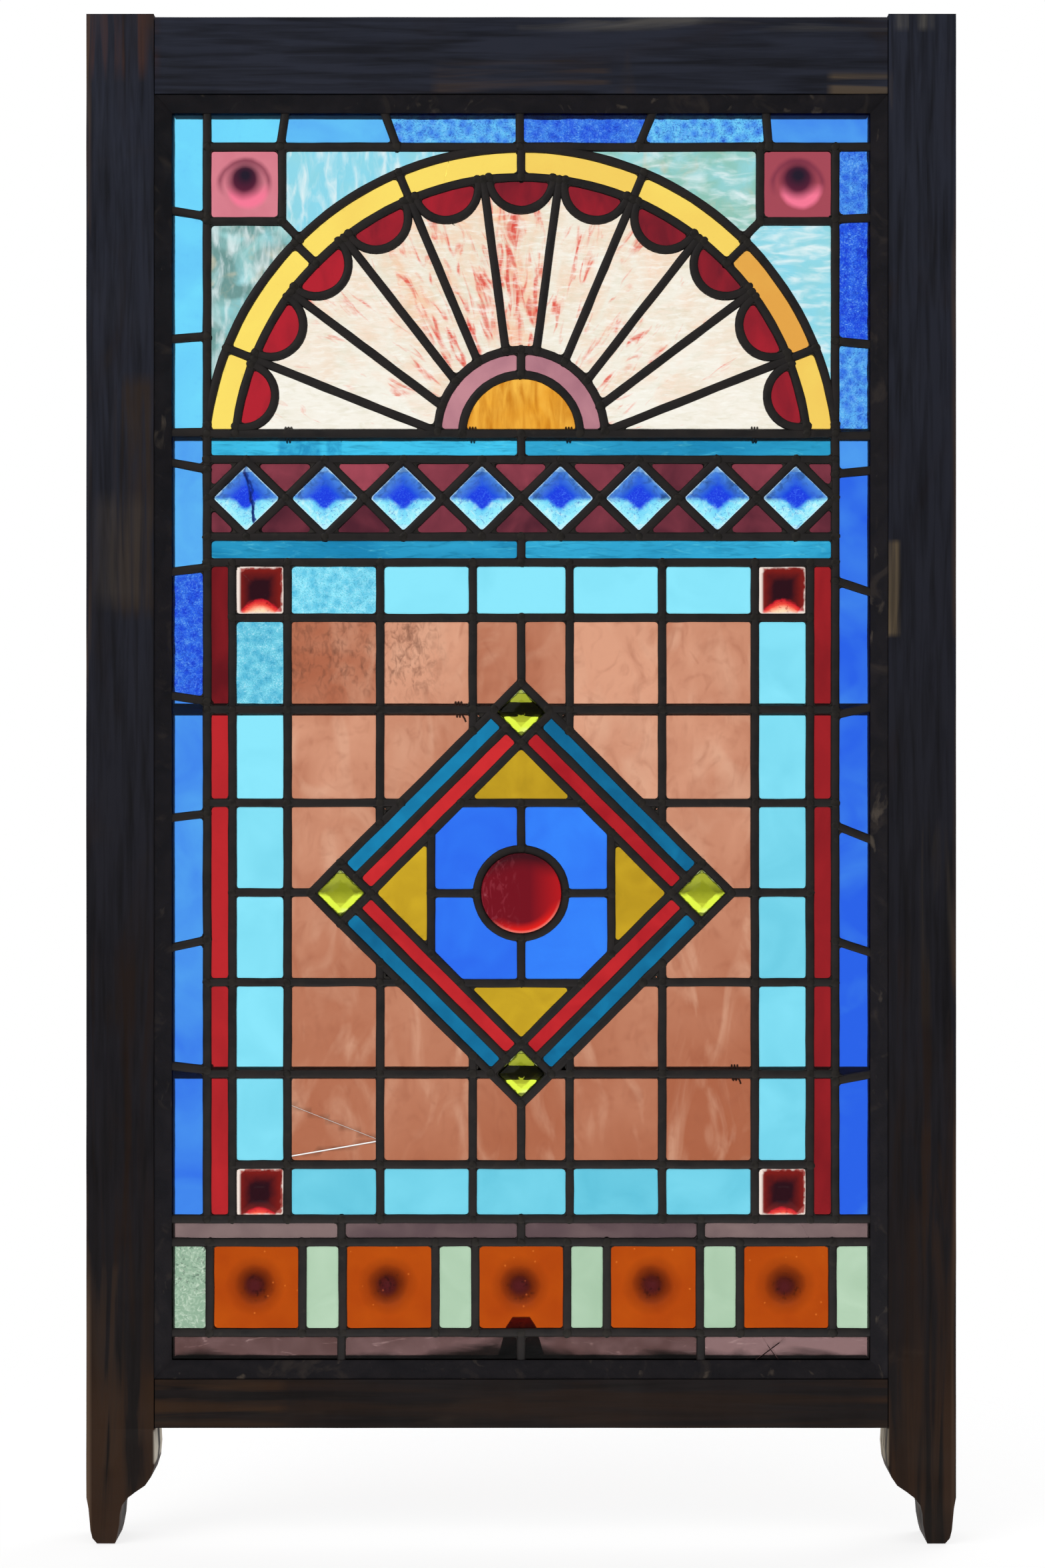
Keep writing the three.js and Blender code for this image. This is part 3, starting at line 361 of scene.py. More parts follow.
def peach_mottle(made):
    """A deeper colour towards the foot of the field, streaks and veils, and a speckled place."""
    low = made.between(made.split(made.place)[2], level(ROWS[0]), level(ROWS[-1]), 0.75, -0.25)
    made.coat("ac6344", made.calc("ADD", low, clamp=True))
    made.coat("e6b598", made.patches(
        0.5, 0.74, 0.6, 34, 5, (1, 1, 0.45), (0, 0.45, 0), swirl=1.6))
    made.coat("a05a40", made.patches(0.52, 0.8, 0.5, 17, 5, (1, 1, 0.7), (0, -0.3, 0), swirl=2))
    made.coat("6e4232", made.times(made.box(*SPECKLED_QUARRY), made.patches(
        0.5, 0.66, 0.7, 5, 5, (1, 1, 0.6), swirl=1)))


def sill_dirt(made):
    """Pale scuffs, and dirt that has settled along the bottom edge of the lowest panes."""
    made.coat("c4a7a4", made.patches(
        0.64, 0.72, 0.7, 7, 4, (0.4, 1, 1.6), (0, 0.15, 0), swirl=1.5))
    sill = EDGE["bottom"]
    settled = made.sum(
        made.between(made.split(made.place)[2], level(sill + 6), level(sill + 19), 0, 1),
        made.times(made.box(*NEAR_KEEP), 0.45),
        made.between(made.noise(30, 4, (0.6, 1, 1), swirl=1), 0.3, 0.7, 0.3, -0.5))
    made.coat("1a1210", made.between(settled, 0.35, 0.9))


def end_pane_crackle(made):
    """The leftmost pale pane has dark flecks above and pale swirls below."""
    pane = made.box(*END_PANE)
    made.coat("86a690", made.times(pane, 0.6))
    made.coat("dcecd8", made.times(pane, made.patches(0.52, 0.6, 0.6, 7, 3, swirl=3)))
    made.coat("2e4038", made.times(made.box(*END_PANE_TOP), made.patches(
        0.6, 0.66, 0.8, 3, 4, swirl=1)))


def jewel_start(name):
    """A jewel's finish, with how far across, up and out each point of its face lies."""
    made = Finish(name, **{**GLASS_PLAIN, "Roughness": 0.06, "IOR": 1.2})
    u, v, _ = made.split(made.uv())
    shift = made.between(made.noise(5, 3), 0.3, 0.7, 0.05, -0.05)
    return made, u, made.sum(v, shift), made.sum(made.attribute("ring"), shift)


def blue_jewel():
    """A crackled royal table, facets above it darkened by painted shade, icy facets below it
    brightened by painted light, a painted highlight round the rim, and maybe a crack.
    """
    made, u, up, out = jewel_start("blue_jewel")
    # Upper facets: blue with smoky patches, a painted shade
    made.ground("1b4ee0", "4f8edc", made.between(out, 0.4, 0.95))
    made.coat("1c3a74", made.times(made.patches(0.48, 0.64, 1, 8, 4, swirl=1.2),
                                   made.between(out, 0.45, 0.75, 0.8)))
    upper = made.shade
    # Lower facets: pale icy blue with crackle, a painted light
    made.ground("56c4f8", "98f0ff", made.between(out, 0.3, 0.8))
    made.coat("d4ffff", made.patches(0.5, 0.68, 0.8, 7, 4, swirl=1.5))
    made.coat("1c46b4", made.patches(0.6, 0.66, 0.75, 4, 4, swirl=2.2))
    facets = made.blend(made.between(up, -0.1, 0.02), made.shade, upper)
    made.ground("1c3ee2", "4f86ff", made.patches(0.54, 0.62, 0.6, 2.6, 4, swirl=2))
    made.shade = made.blend(made.between(out, 0.3, 0.46), made.shade, facets)
    line = made.sum(u, made.between(up, -1, 1, 0.05, -0.3),
                    made.between(made.noise(9, 3), 0, 1, 0.2, -0.2))
    made.coat("0c1f66", made.times(made.between(
        made.calc("ABSOLUTE", line), 0.03, 0.07, 0, 1), made.attribute("tone")))
    # A pale rim all round, a painted highlight
    made.coat("d2f2ff", made.between(out, 0.9, 0.98, 0.85))
    return made.done(made.noise(2.5, 3), 0.35, 0.4)


def ruby_jewel():
    """Nearly black red inside cream edges that are a painted highlight, with a painted glow of
    light at the foot that a high tone lowers.
    """
    made, u, up, out = jewel_start("ruby_jewel")
    made.ground("2c0f18", "7c1c18", made.between(out, 0.35, 0.8))
    # Painted light: a glow rising from the foot of the jewel
    painted_glow = made.calc("SUBTRACT", made.times(up, -1.0), made.sum(
        made.times(u, u, 0.75), 0.34, made.times(made.attribute("tone"), 0.24)))
    for code, low, high in (("cc1c2c", 0.0, 0.06), ("ff5844", 0.06, 0.3), ("ffe2ba", 0.24, 0.5)):
        made.coat(code, made.between(painted_glow, low, high))
    made.coat("9c0c10", made.times(made.between(painted_glow, 0.03, 0.1),
                                   made.patches(0.62, 0.68, 0.8, 3, 2)))
    # Cream along the left side and round the rim, a painted highlight
    made.coat("f6e6dc", made.calc("MAXIMUM", made.between(u, -0.76, -0.86),
                                  made.between(out, 0.86, 0.94)))
    return made.done(made.noise(2.5, 3), 0.35, 0.4)


def green_jewel():
    """Olive darkened by painted shade above, a bright lime V of painted light along the lower
    edges, an olive outline, and a pale painted highlight along the upper rim.
    """
    made, u, up, out = jewel_start("green_jewel")
    # Upper facets: darker olive, a painted shade
    made.ground("747a1a", "a4ac32", made.between(up, 0.05, 0.5))
    upper = made.shade
    # The table and lower facets grow brighter lime downwards, a painted light
    made.ground("8a921e", "b6be30", made.between(up, 0.1, -0.4))
    table, off_table = made.shade, made.between(out, 0.5, 0.58)
    made.coat("e6fb4a", off_table)
    made.coat("f8ffb0", made.times(made.between(up, -0.55, -0.8), made.between(u, -0.1, 0.2)))
    facets = made.blend(made.between(up, -0.1, 0.04), made.shade, upper)
    made.shade = made.blend(off_table, table, facets)
    made.coat("39400f", made.between(out, 0.86, 0.9))
    # A pale upper rim, a painted highlight
    made.coat("c6d4a0", made.times(made.between(out, 0.93, 0.97),
                                   made.between(up, 0.0, 0.3, 0.8)))
    return made.done(made.noise(2.5, 3), 0.25, 0.3)


def boss_start(name):
    """A pressed pane's finish, how far up it each point lies, and the reach from a spot."""
    made = Finish(name, **{**GLASS_PLAIN, "IOR": 1.2})
    u, v, _ = made.split(made.uv())
    shift = made.between(made.noise(16, 2), 0.3, 0.7, 0.025, -0.025)

    def reach(x, z, wide=1.0):
        across = made.times(made.calc("SUBTRACT", u, x), 1 / wide)
        up = made.calc("SUBTRACT", v, z)
        square = made.sum(made.times(across, across), made.times(up, up))
        return made.sum(made.calc("SQRT", square), shift)

    return made, v, reach


def boss_end(made):
    made.grime(8, 0.6)
    return made.done(made.noise(5, 2), 0.15, 0.3)


def pink_rondel():
    """A blurred dark plum disc set high, a painted shade, with a bright crescent under it that is
    a painted highlight.
    """
    made, v, reach = boss_start("pressed_pink")
    made.ground("d27686", "dc8492", made.patches(0.3, 0.7, 1, 22, 4))
    made.coat("a64a58", made.attribute("tone"))
    # Painted shade: dark arcs round the upper half of the boss
    ring = made.between(made.off(reach(0, 0), 0.64), 0.0, 0.12, 0, 0.75)
    made.coat("7c3348", made.times(ring, made.between(v, -0.35, 0.1)))
    # Painted highlight: a bright crescent under the disc
    crescent = made.between(reach(0.1, -0.1), 0.46, 0.6, 0, 1)
    made.coat("f87a98", made.times(crescent, made.between(v, 0.05, -0.3)))
    # Painted shade: the dark disc set high on the boss
    disc = made.blend(made.between(reach(0.02, 0.24), 0.1, 0.4), hue("241c2c"), hue("5a2038"))
    in_disc = made.between(reach(0.01, 0.14, 0.95), 0.3, 0.58, 0, 1)
    made.shade = made.blend(in_disc, made.shade, disc)
    return boss_end(made)


def orange_rondel():
    """Orange glass with a soft brown-red disc and a few bright seeds."""
    made, _, reach = boss_start("pressed_orange")
    made.ground("b0440a", "bc500c", made.patches(0.3, 0.7, 1, 30, 3))
    for code, x, z, low, high, most in (("8a3208", -0.02, 0.04, 0.36, 0.66, 0.7),
                                        ("421208", -0.02, 0.06, 0.16, 0.46, 0.95),
                                        ("541c22", -0.04, 0.02, 0.06, 0.26, 0.7)):
        made.coat(code, made.between(reach(x, z), low, high, 0, most))
    made.coat("1c0808", made.times(made.between(reach(0, 0), 0.2, 0.4, 0, 1),
                                   made.patches(0.6, 0.68, 0.8, 4, 3)))
    made.coat("ff9a50", made.between(made.cells(11), 0.05, 0.08, 0, 0.8))
    return boss_end(made)


def roundel_glass():
    """Deep ruby brightened to the right by painted light, darkened at the head by painted shade,
    with a painted glow along the lower right rim, and faint smears.
    """
    made = Finish("ruby_roundel", **{**GLASS_PLAIN, "Roughness": 0.08, "IOR": 1.15})
    u, v, _ = made.split(made.uv())
    ring = made.attribute("ring")
    # Painted light: brighter towards the right
    made.ground("741420", "c21c20", made.between(u, 0.2, 0.9, 0.8))
    # Painted shade: darker at the head
    made.coat("42141c", made.times(made.between(v, 0.35, 0.8), made.between(ring, 0.5, 0.85)))
    thin = made.between(made.off(ring, 0.955), 0.01, 0.035, 0, 1)
    made.coat("b02834", made.times(thin, 0.6))
    # Painted light: a glow along the lower right rim
    lower = made.between(made.sum(made.times(v, -1.0), made.times(u, 0.3)), 0.4, 0.8)
    made.coat("e8221c", made.times(made.between(ring, 0.68, 0.86), lower))
    made.coat("ff9c8c", made.times(made.between(ring, 0.86, 0.93), lower))
    made.coat("d0707c", made.times(made.between(u, 0.0, -0.4), made.patches(
        0.56, 0.64, 0.3, 10, 5, (1.4, 1, 0.6), (0, 0.2, 0), swirl=2)))
    return made.done(made.noise(5, 3), 0.15, 0.3)


# Rubbed or stained places on the timber, and two painted highlights on the inner faces of the
# horns: x0, z0, x1, z1 and softness, the colour, and how much of it shows
TIMBER_PATCHES_AND_HIGHLIGHTS = [
    ((-318, 1090, -280, 1123, 16), "6d4a40", 0.75),
    ((-290, 690, -272, 850, 12), "4a3b2f", 0.7),
    ((-304, 700, -284, 760, 16), "6a5f55", 0.4),
    ((270, 670, 276, 735, 4), "a08a6a", 0.9),
    ((296, 390, 314, 520, 14), "4d443c", 0.7),
    ((298, 30, 318, 300, 14), "5a4030", 0.5),
    ((-312, 60, -298, 200, 8), "5d4a3e", 0.7),
    ((-318, 10, -285, 110, 14), "4c3526", 0.6),
    ((-318, 0, -266, 120, 20), "402c1f", 0.8),
    ((266, 0, 318, 130, 20), "402c1f", 0.8),
    ((-318, 130, -282, 420, 30), "33231a", 0.7),
    ((284, 130, 318, 420, 30), "33231a", 0.7),
    ((-266, 84, 262, 118, 8), "38261b", 0.5),
    ((0, 1116, 300, 1123, 5), "8a857e", 0.55),
    ((-60, 1066, 60, 1084, 8), "6b5646", 0.5),
    ((230, 1058, 268, 1078, 6), "8f7a60", 0.6),
    ((-268, 88, -180, 116, 10), "452f1e", 0.7),
    # Painted highlights: near-white light on the inner faces of the horns
    ((-269, 60, -262, 82, 2), "e2d8c6", 0.95),
    ((262, 58, 269, 84, 2), "cabda6", 0.9),
    ((-322, 0, -318, 1123, 2.5), "7a6250", 0.7),
    ((318, 0, 322, 1123, 2.5), "6a5444", 0.5),
]


def timber(name, upright):
    """Old dark-stained softwood: grain along the piece, worn edges, rubbed patches, and painted
    highlights on the inner faces of the horns.
    """
    made = Finish(name, Roughness=0.7, Specular_IOR_Level=0.15)
    lengthways = (1, 1, 0.06) if upright else (0.06, 1, 1)
    grain = made.noise(4.5, 6, lengthways, swirl=0.4)
    broad = made.noise(60, 4, (1, 1, 0.35) if upright else (0.35, 1, 1), swirl=0.8)
    made.ground("221913", "3e4252", made.between(
        made.split(made.place)[2], CAD_LOW.z, CAD_HIGH.z))
    made.coat("14110f", made.between(grain, 0.4, 0.7, 0.6))
    made.coat("33241b", made.between(broad, 0.55, 0.72, 0.4))
    made.coat("4f4238", made.times(made.between(broad, 0.6, 0.75),
                                   made.between(grain, 0.5, 0.62), 0.5))
    for patch, code, much in TIMBER_PATCHES_AND_HIGHLIGHTS:
        made.coat(code, made.times(made.box(*patch), made.patches(
            0.44, 0.6, much, 13, 5, lengthways, swirl=0.8)))
    worn = made.put("NewGeometry", {}).outputs["Pointiness"]
    made.coat("5a4a3d", made.times(made.between(worn, 0.53, 0.6),
                                   made.patches(0.45, 0.65, 0.5, 20, 4)))
    made.gloss(made.between(made.noise(25, 3), 0.3, 0.7, 0.8, 0.5))
    return made.done(grain, 0.5, 0.5)


def putty_finish():
    made = Finish("old_putty", Roughness=0.85, Specular_IOR_Level=0.3)
    made.ground("242227", "302c30", made.patches(0.35, 0.7, 1, 18, 5, swirl=0.6))
    made.coat("4e4540", made.patches(0.58, 0.72, 0.6, 30, 5, swirl=1.5))
    made.coat("8a7c6c", made.patches(0.64, 0.74, 0.5, 16, 5, (1, 1, 0.6), swirl=0.6))
    return made.done(made.noise(3, 4), 0.6, 0.8)


def dull_metal(name, metallic, rough, clouds, span, shades, spots, rough_span, bumps):
    """Clouds of two shades, spots of a third, and a roughness that follows the clouds."""
    made = Finish(name, Metallic=metallic, Roughness=rough)
    size, detail, swirl = clouds
    dull = made.noise(size, detail, swirl=swirl)
    made.ground(*shades, made.between(dull, *span))
    if spots:
        made.coat(spots[0], made.patches(*spots[1:]))
    least, most = rough_span
    made.gloss(made.between(dull, *span, most, least))
    size, detail, strength, distance = bumps
    return made.done(made.noise(size, detail), strength, distance)


OLD_LEAD = dull_metal(
    "oxidised_lead", 0.35, 0.6, (14, 4, 0), (0.3, 0.7), ("2c2929", "413b39"),
    ("4a423c", 0.6, 0.75, 0.5, 5, 4), (0.45, 0.75), (1.8, 3, 0.35, 0.3))
OLD_SOLDER = dull_metal(
    "old_solder", 0.5, 0.5, (4, 4, 0), (0.3, 0.7), ("2b2825", "45403b"),
    None, (0.4, 0.7), (1.2, 3, 0.3, 0.3))
BUFF_PAINT = dull_metal(
    "buff_painted_iron", 0.2, 0.5, (6, 5, 0.5), (0.35, 0.65), ("8d7656", "b8a27c"),
    ("5c4630", 0.6, 0.72, 0.6, 2.5, 3), (0.35, 0.6), (2, 4, 0.4, 0.3))
RUSTED_IRON = dull_metal(
    "rusted_iron", 0.6, 0.7, (9, 5, 0.5), (0.4, 0.65), ("1b1816", "3d2419"),
    ("5a3320", 0.6, 0.75, 0.6, 3, 4), (0.5, 0.85), (2, 4, 0.5, 0.5))


# ---- Building and finishing a piece ----------------------------------------------------------


def gather(whole, part):
    """Adds one small bmesh to another and frees it."""
    mesh = bpy.data.meshes.new("part")
    part.to_mesh(mesh)
    part.free()
    whole.from_mesh(mesh)
    bpy.data.meshes.remove(mesh)


def finish_piece(name, bm, finish, stands_for=(), crease=35, points=None):
    """Moves a bmesh to the frame and makes it a piece. `points` are values for each vertex."""
    bmesh.ops.recalc_face_normals(bm, faces=bm.faces)
    bmesh.ops.transform(bm, matrix=TO_FRAME, verts=bm.verts)
    for face in bm.faces:
        face.smooth = True
    for edge in bm.edges:
        edge.smooth = edge.calc_face_angle(math.pi) < math.radians(crease)
    mesh = bpy.data.meshes.new(name)
    bm.to_mesh(mesh)
    bm.free()
    for layer, values in (points or {}).items():
        mesh.attributes.new(layer, "FLOAT", "POINT").data.foreach_set("value", values)
    mesh.materials.append(finish)
    piece = bpy.data.objects.new(name, mesh)
    scene.collection.objects.link(piece)
    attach(piece, "root")
    if stands_for:
        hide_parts(*stands_for)
    return piece


def bisect(bm, at, normal, dist=0.0):
    bmesh.ops.bisect_plane(bm, geom=bm.verts[:] + bm.edges[:] + bm.faces[:],
                           plane_co=at, plane_no=normal, dist=dist)


def slice_up(bm, axis, grid, dist=0.0):
    """Cuts a mesh into even slices across an axis, a little more than `grid` apart."""
    values = [v.co[axis] for v in bm.verts]
    low, span = min(values), max(values) - min(values)
    slices = int(span / grid)
    for i in range(1, slices):
        at, normal = Vector(), Vector()
        at[axis] = low + span * i / slices
        normal[axis] = 1
        bisect(bm, at, normal, dist)


def ease(bm, edges, offset):
    bmesh.ops.bevel(bm, geom=edges, offset=offset, segments=2, profile=0.5, affect="EDGES",
                    material=-1, clamp_overlap=True)


def split_big_faces(bm):
    bmesh.ops.triangulate(bm, faces=[f for f in bm.faces if len(f.verts) > 4])


def of_kind(geom, kind):
    return [g for g in geom if isinstance(g, kind)]


def sweep(bm, edges, frames):
    """Draws a ring of edges on through frames, and closes both ends."""
    bmesh.ops.contextual_create(bm, geom=edges)
    for here, there in zip(frames, frames[1:]):
        made = bmesh.ops.extrude_edge_only(bm, edges=edges)["geom"]
        edges = of_kind(made, bmesh.types.BMEdge)
        bmesh.ops.transform(bm, matrix=there @ here.inverted(),
                            verts=of_kind(made, bmesh.types.BMVert))
    bmesh.ops.contextual_create(bm, geom=edges)
    return bm


def axes(x, y, z, at):
    """The matrix that has these directions and this place."""
    return Matrix((*zip(x, y, z, at), (0, 0, 0, 1)))


def lay_map(bm, name, place):
    """Makes a map that gives each corner of a face what `place` makes of its vertex."""
    uv = bm.loops.layers.uv.new(name)
    for face in bm.faces:
        for loop in face.loops:
            loop[uv].uv = place(loop.vert.co)


def on_rim(vert):
    return any(abs(f.normal.y) < 0.5 for f in vert.link_faces)


def is_front(vert):
    """Whether a vertex of a pane is on its putty side."""
    return vert.co.y < GLASS_FRONT + GLASS_THICK / 2


def sheet_face(side):
    return GLASS_FRONT if side < 0 else GLASS_BACK


def round_at(radius, angle, cx=0, cz=0):
    """A point at an angle from straight up, turning towards +X."""
    return (cx + radius * math.sin(angle), cz + radius * math.cos(angle))


def arc(cx, cz, radius, start, end, steps):
    return [round_at(radius, start + (end - start) * i / steps, cx, cz) for i in range(steps + 1)]


def both_ways(xs):
    return [-x for x in reversed(xs)] + list(xs)


def rectangle(x0, z0, x1, z1):
    return [(x0, z0), (x1, z0), (x1, z1), (x0, z1)]


def clip(outline, nx, nz, least):
    """Keeps the side of a convex outline where nx * x + nz * z is at least `least`."""
    kept = []
    for (x0, z0), (x1, z1) in zip(outline, outline[1:] + outline[:1]):
        here, there = nx * x0 + nz * z0 - least, nx * x1 + nz * z1 - least
        if here >= 0:
            kept.append((x0, z0))
        if here * there < 0:
            share = here / (here - there)
            kept.append((x0 + share * (x1 - x0), z0 + share * (z1 - z0)))
    return kept


def area(outline):
    return sum(x0 * z1 - x1 * z0 for (x0, z0), (x1, z1)
               in zip(outline, outline[1:] + outline[:1])) / 2


# ---- Outlines of the panes, out to the middle of the leads -----------------------------------


def row_of(xs, z0, z1):
    return [rectangle(a, z0, b, z1) for a, b in zip(xs, xs[1:])]


def border_cells():
    """Top run from the left, then the left run and the right run downwards."""
    x, top = EDGE["x"], EDGE["top"]
    ends = [(-X_BORDER, -X_BORDER)] + BORDER_TOP + [(x, x)]
    cells = [[(o0, top), (o1, top), (i1, Z_BORDER), (i0, Z_BORDER)]
             for (o0, i0), (o1, i1) in zip(ends, ends[1:])]
    for side, first, runs in ((-1, top, BORDER_LEFT), (1, Z_BORDER, BORDER_RIGHT)):
        ends = [(first, first)] + runs + [(Z_FIELD_BOTTOM, Z_FIELD_BOTTOM)]
        cells += [[(side * x, o0), (side * X_BORDER, i0), (side * X_BORDER, i1), (side * x, o1)]
                  for (o0, i0), (o1, i1) in zip(ends, ends[1:])]
    return cells


def burgundy_cells():
    cells = []
    for i in range(BAND_JEWELS + 1):
        x = -X_BORDER + i * JEWEL_PITCH
        left, right = max(-X_BORDER, x - JEWEL_PITCH / 2), min(X_BORDER, x + JEWEL_PITCH / 2)
        for z in (Z_STRIP_A, Z_STRIP_B):
            points = [(left, z), (x, Z_BAND), (right, z)]
            if x in (left, right):
                points = [(left, z), (right, z), (x, Z_BAND)]
            cells.append(points)
    return cells


def cyan_field_cells():
    columns = both_ways(COLUMNS)
    cells = row_of(columns, ROWS[0], Z_FIELD_TOP) + row_of(columns, Z_FIELD_BOTTOM, ROWS[-1])
    for side in (-1, 1):
        cells += [rectangle(side * COLUMNS[2], low, side * X_RUBY, high)
                  for high, low in zip(ROWS, ROWS[1:])]
    return cells


def peach_cells():
    """Quarries outside the diamond; the middle lead splits those above and below it."""
    columns = [0] + COLUMNS
    cells = []
    for high, low in zip(ROWS, ROWS[1:]):
        up = 1 if (low + high) / 2 > DIAMOND["z"] else -1
        for side in (-1, 1):
            for near, far in zip(columns, columns[1:]):
                quarry = rectangle(side * near, low, side * far, high)
                least = DIAMOND["outer"] * math.sqrt(2) + up * DIAMOND["z"]
                cells.append(clip(quarry, side, up, least))
    return [cell for cell in cells if len(cell) > 2 and abs(area(cell)) > 60]


def on_corner(point):
    """A point of the diamond drawn square, stood on its corner."""
    x, y = point
    return ((x - y) / math.sqrt(2), DIAMOND["z"] + (x + y) / math.sqrt(2))


def diamond_strips(near, far):
    inner = DIAMOND["inner"]
    square = []
    for side in (-1, 1):
        square += [rectangle(-inner, side * near, inner, side * far),
                   rectangle(side * near, -inner, side * far, inner)]
    return [[on_corner(p) for p in cell] for cell in square]


def gold_cells():
    """Top, right, bottom and left corners of the diamond."""
    tip = DIAMOND["inner"] * math.sqrt(2)
    half = tip - OCTAGON
    cell, cells = [(-half, OCTAGON), (half, OCTAGON), (0, tip)], []
    for _ in range(4):
        cells.append([(x, DIAMOND["z"] + z) for x, z in cell])
        cell = [(z, -x) for x, z in cell]
    return cells


def octagon_cells():
    chamfer = DIAMOND["inner"] * math.sqrt(2) - OCTAGON
    cells = []
    for side, up in itertools.product((-1, 1), (-1, 1)):
        bite = arc(0, 0, ROUNDEL, 0, math.pi / 2, 10)
        corner = [(OCTAGON, 0), (OCTAGON, chamfer), (chamfer, OCTAGON), (0, OCTAGON)]
        cells.append([(side * x, DIAMOND["z"] + up * z) for x, z in bite + corner])
    return cells


def lowest_angle(radius):
    """Where a circle of the arch meets the lead under the fan."""
    return math.acos((Z_FAN - ARCH["z"]) / radius)


def yellow_cells():
    cells = []
    for i in range(-YELLOWS // 2, YELLOWS // 2):
        edge = []
        for radius, ends in ((ARCH["outer"], (i, i + 1)), (ARCH["inner"], (i + 1, i))):
            limit = lowest_angle(radius)
            a, b = (max(-limit, min(limit, end * YELLOW_STEP)) for end in ends)
            edge += arc(0, ARCH["z"], radius, a, b, 8)
        cells.append(edge)
    return cells


def scallop_angles():
    return [(i - (SCALLOPS - 1) / 2) * SCALLOP_STEP for i in range(SCALLOPS)]


def scallop_cells():
    """Circles on the inner lead of the arch, flattened where they would pass it."""
    cells = []
    for angle in scallop_angles():
        outline = []
        for x, z in arc(*round_at(SCALLOP["at"], angle, 0, ARCH["z"]), SCALLOP["radius"],
                        0, 2 * math.pi, 36)[:-1]:
            shrink = min(1, ARCH["inner"] / math.hypot(x, z - ARCH["z"]))
            outline.append((x * shrink, ARCH["z"] + (z - ARCH["z"]) * shrink))
        cells.append(outline)
    return cells


def fan_start(angle, radius=MAUVE["outer"]):
    """How far from the arch's centre a ray of that angle leaves a circle round the fan's foot."""
    drop = Z_FAN - ARCH["z"]
    return drop * math.cos(angle) + math.sqrt(radius ** 2 - (drop * math.sin(angle)) ** 2)


def ray_cells(steps=16):
    """Wedges from the foot of the fan out to the scallops."""
    cells = []
    at, radius = SCALLOP["at"], SCALLOP["radius"]
    for middle in scallop_angles():
        start = max(middle - SCALLOP_STEP / 2, -FAN_REACH)
        end = min(middle + SCALLOP_STEP / 2, FAN_REACH)
        near, far = [], []
        for i in range(steps + 1):
            angle = start + (end - start) * i / steps
            off = angle - middle
            reach = at
            if abs(off) < math.asin(radius / at):
                reach = at * math.cos(off) - math.sqrt(radius ** 2 - (at * math.sin(off)) ** 2)
            foot = max(fan_start(angle), (Z_FAN - ARCH["z"]) / math.cos(angle))
            near.append(round_at(foot, angle, 0, ARCH["z"]))
            far.append(round_at(max(reach, foot + 1), angle, 0, ARCH["z"]))
        cells.append(near + far[::-1])
    return cells


def mauve_cells():
    quarter = math.pi / 2
    return [arc(0, Z_FAN, MAUVE["outer"], a, b, 14) + arc(0, Z_FAN, MAUVE["inner"], b, a, 14)
            for a, b in ((-quarter, 0), (0, quarter))]


def spandrel_cells(side):
    """Upper pane, then the lower one, on either side of the rondel's corner lead."""
    x, z = RONDEL_CELL
    corner = math.atan2(x, z - ARCH["z"])
    upper, lower = (arc(0, ARCH["z"], ARCH["outer"], corner, end, 12) for end in (
        math.asin(SPANDREL_START / ARCH["outer"]), SPANDREL_FOOT))
    upper = [(SPANDREL_START, Z_BORDER), (x, Z_BORDER), (x, z)] + upper
    lower = [(X_BORDER, z), (x, z)] + lower + [(X_BORDER, lower[-1][1])]
    return [[(side * px, pz) for px, pz in cell] for cell in (upper, lower)]


# ---- Panes -----------------------------------------------------------------------------------


def cut_pane(outline, grid):
    """One flat pane with a fine grid on its faces: a closed slab of glass."""
    bm = bmesh.new()
    face = bm.faces.new([bm.verts.new((x, GLASS_FRONT, z)) for x, z in outline])
    rim = bmesh.ops.inset_region(bm, faces=[face], thickness=CLEAR, use_even_offset=True)["faces"]
    bmesh.ops.delete(bm, geom=rim, context="FACES")
    for axis in (0, 2):
        slice_up(bm, axis, grid)
    if sum(f.normal.y for f in bm.faces) > 0:
        bmesh.ops.reverse_faces(bm, faces=bm.faces)
    bmesh.ops.solidify(bm, geom=bm.faces[:], thickness=GLASS_THICK)
    return bm


def wavy(height, across, up):
    return lambda x, z: height * noise.noise(Vector((x / across, 3.1, z / up)))


def hammered(x, z):
    """Round dints pressed close together."""
    return 0.55 - 0.9 * min(1, noise.voronoi(Vector((x / 6, 0, z / 6)))[0][0])


def glass_sheet(name, cells, finish, relief=(0.25, 30, 30), solid=None, tones=None,
                worked=(), cracks=(), radial=False):
    """All the panes of one glass, in place of the solid that shares its name.

    `relief` is the height, width and length of the waves in it, `worked` are the numbers of the
    hammered panes, and a crack starts with its pane's number. A radial sheet has a map that runs
    out along each ray, in centimetres, for streaks to follow.
    """
    chance = random.Random(name)
    sheet = bmesh.new()
    points = {"tone": [], "worked": [], "edge": []}
    for number, outline in enumerate(cells):
        is_worked = number in worked
        tone = tones[number] if tones else chance.uniform(0.15, 0.85)
        pane = cut_pane(outline, 2.2 if is_worked else 4.5)
        for line in (c for c in cracks if c[0] == number):
            crack(pane, *line[1:])
        shape = hammered if is_worked else wavy(*relief)
        for vert in pane.verts:
            at_rim = on_rim(vert)
            points["edge"].append(float(at_rim))
            points["tone"].append(tone)
            points["worked"].append(float(is_worked))
            if not at_rim and is_front(vert):
                vert.co.y -= shape(vert.co.x, vert.co.z)
        if radial:
            map_outwards(pane, number, chance)
        gather(sheet, pane)
    solid = solid or name.replace("panes", "glass")
    return finish_piece(name, sheet, finish, [solid], points=points)


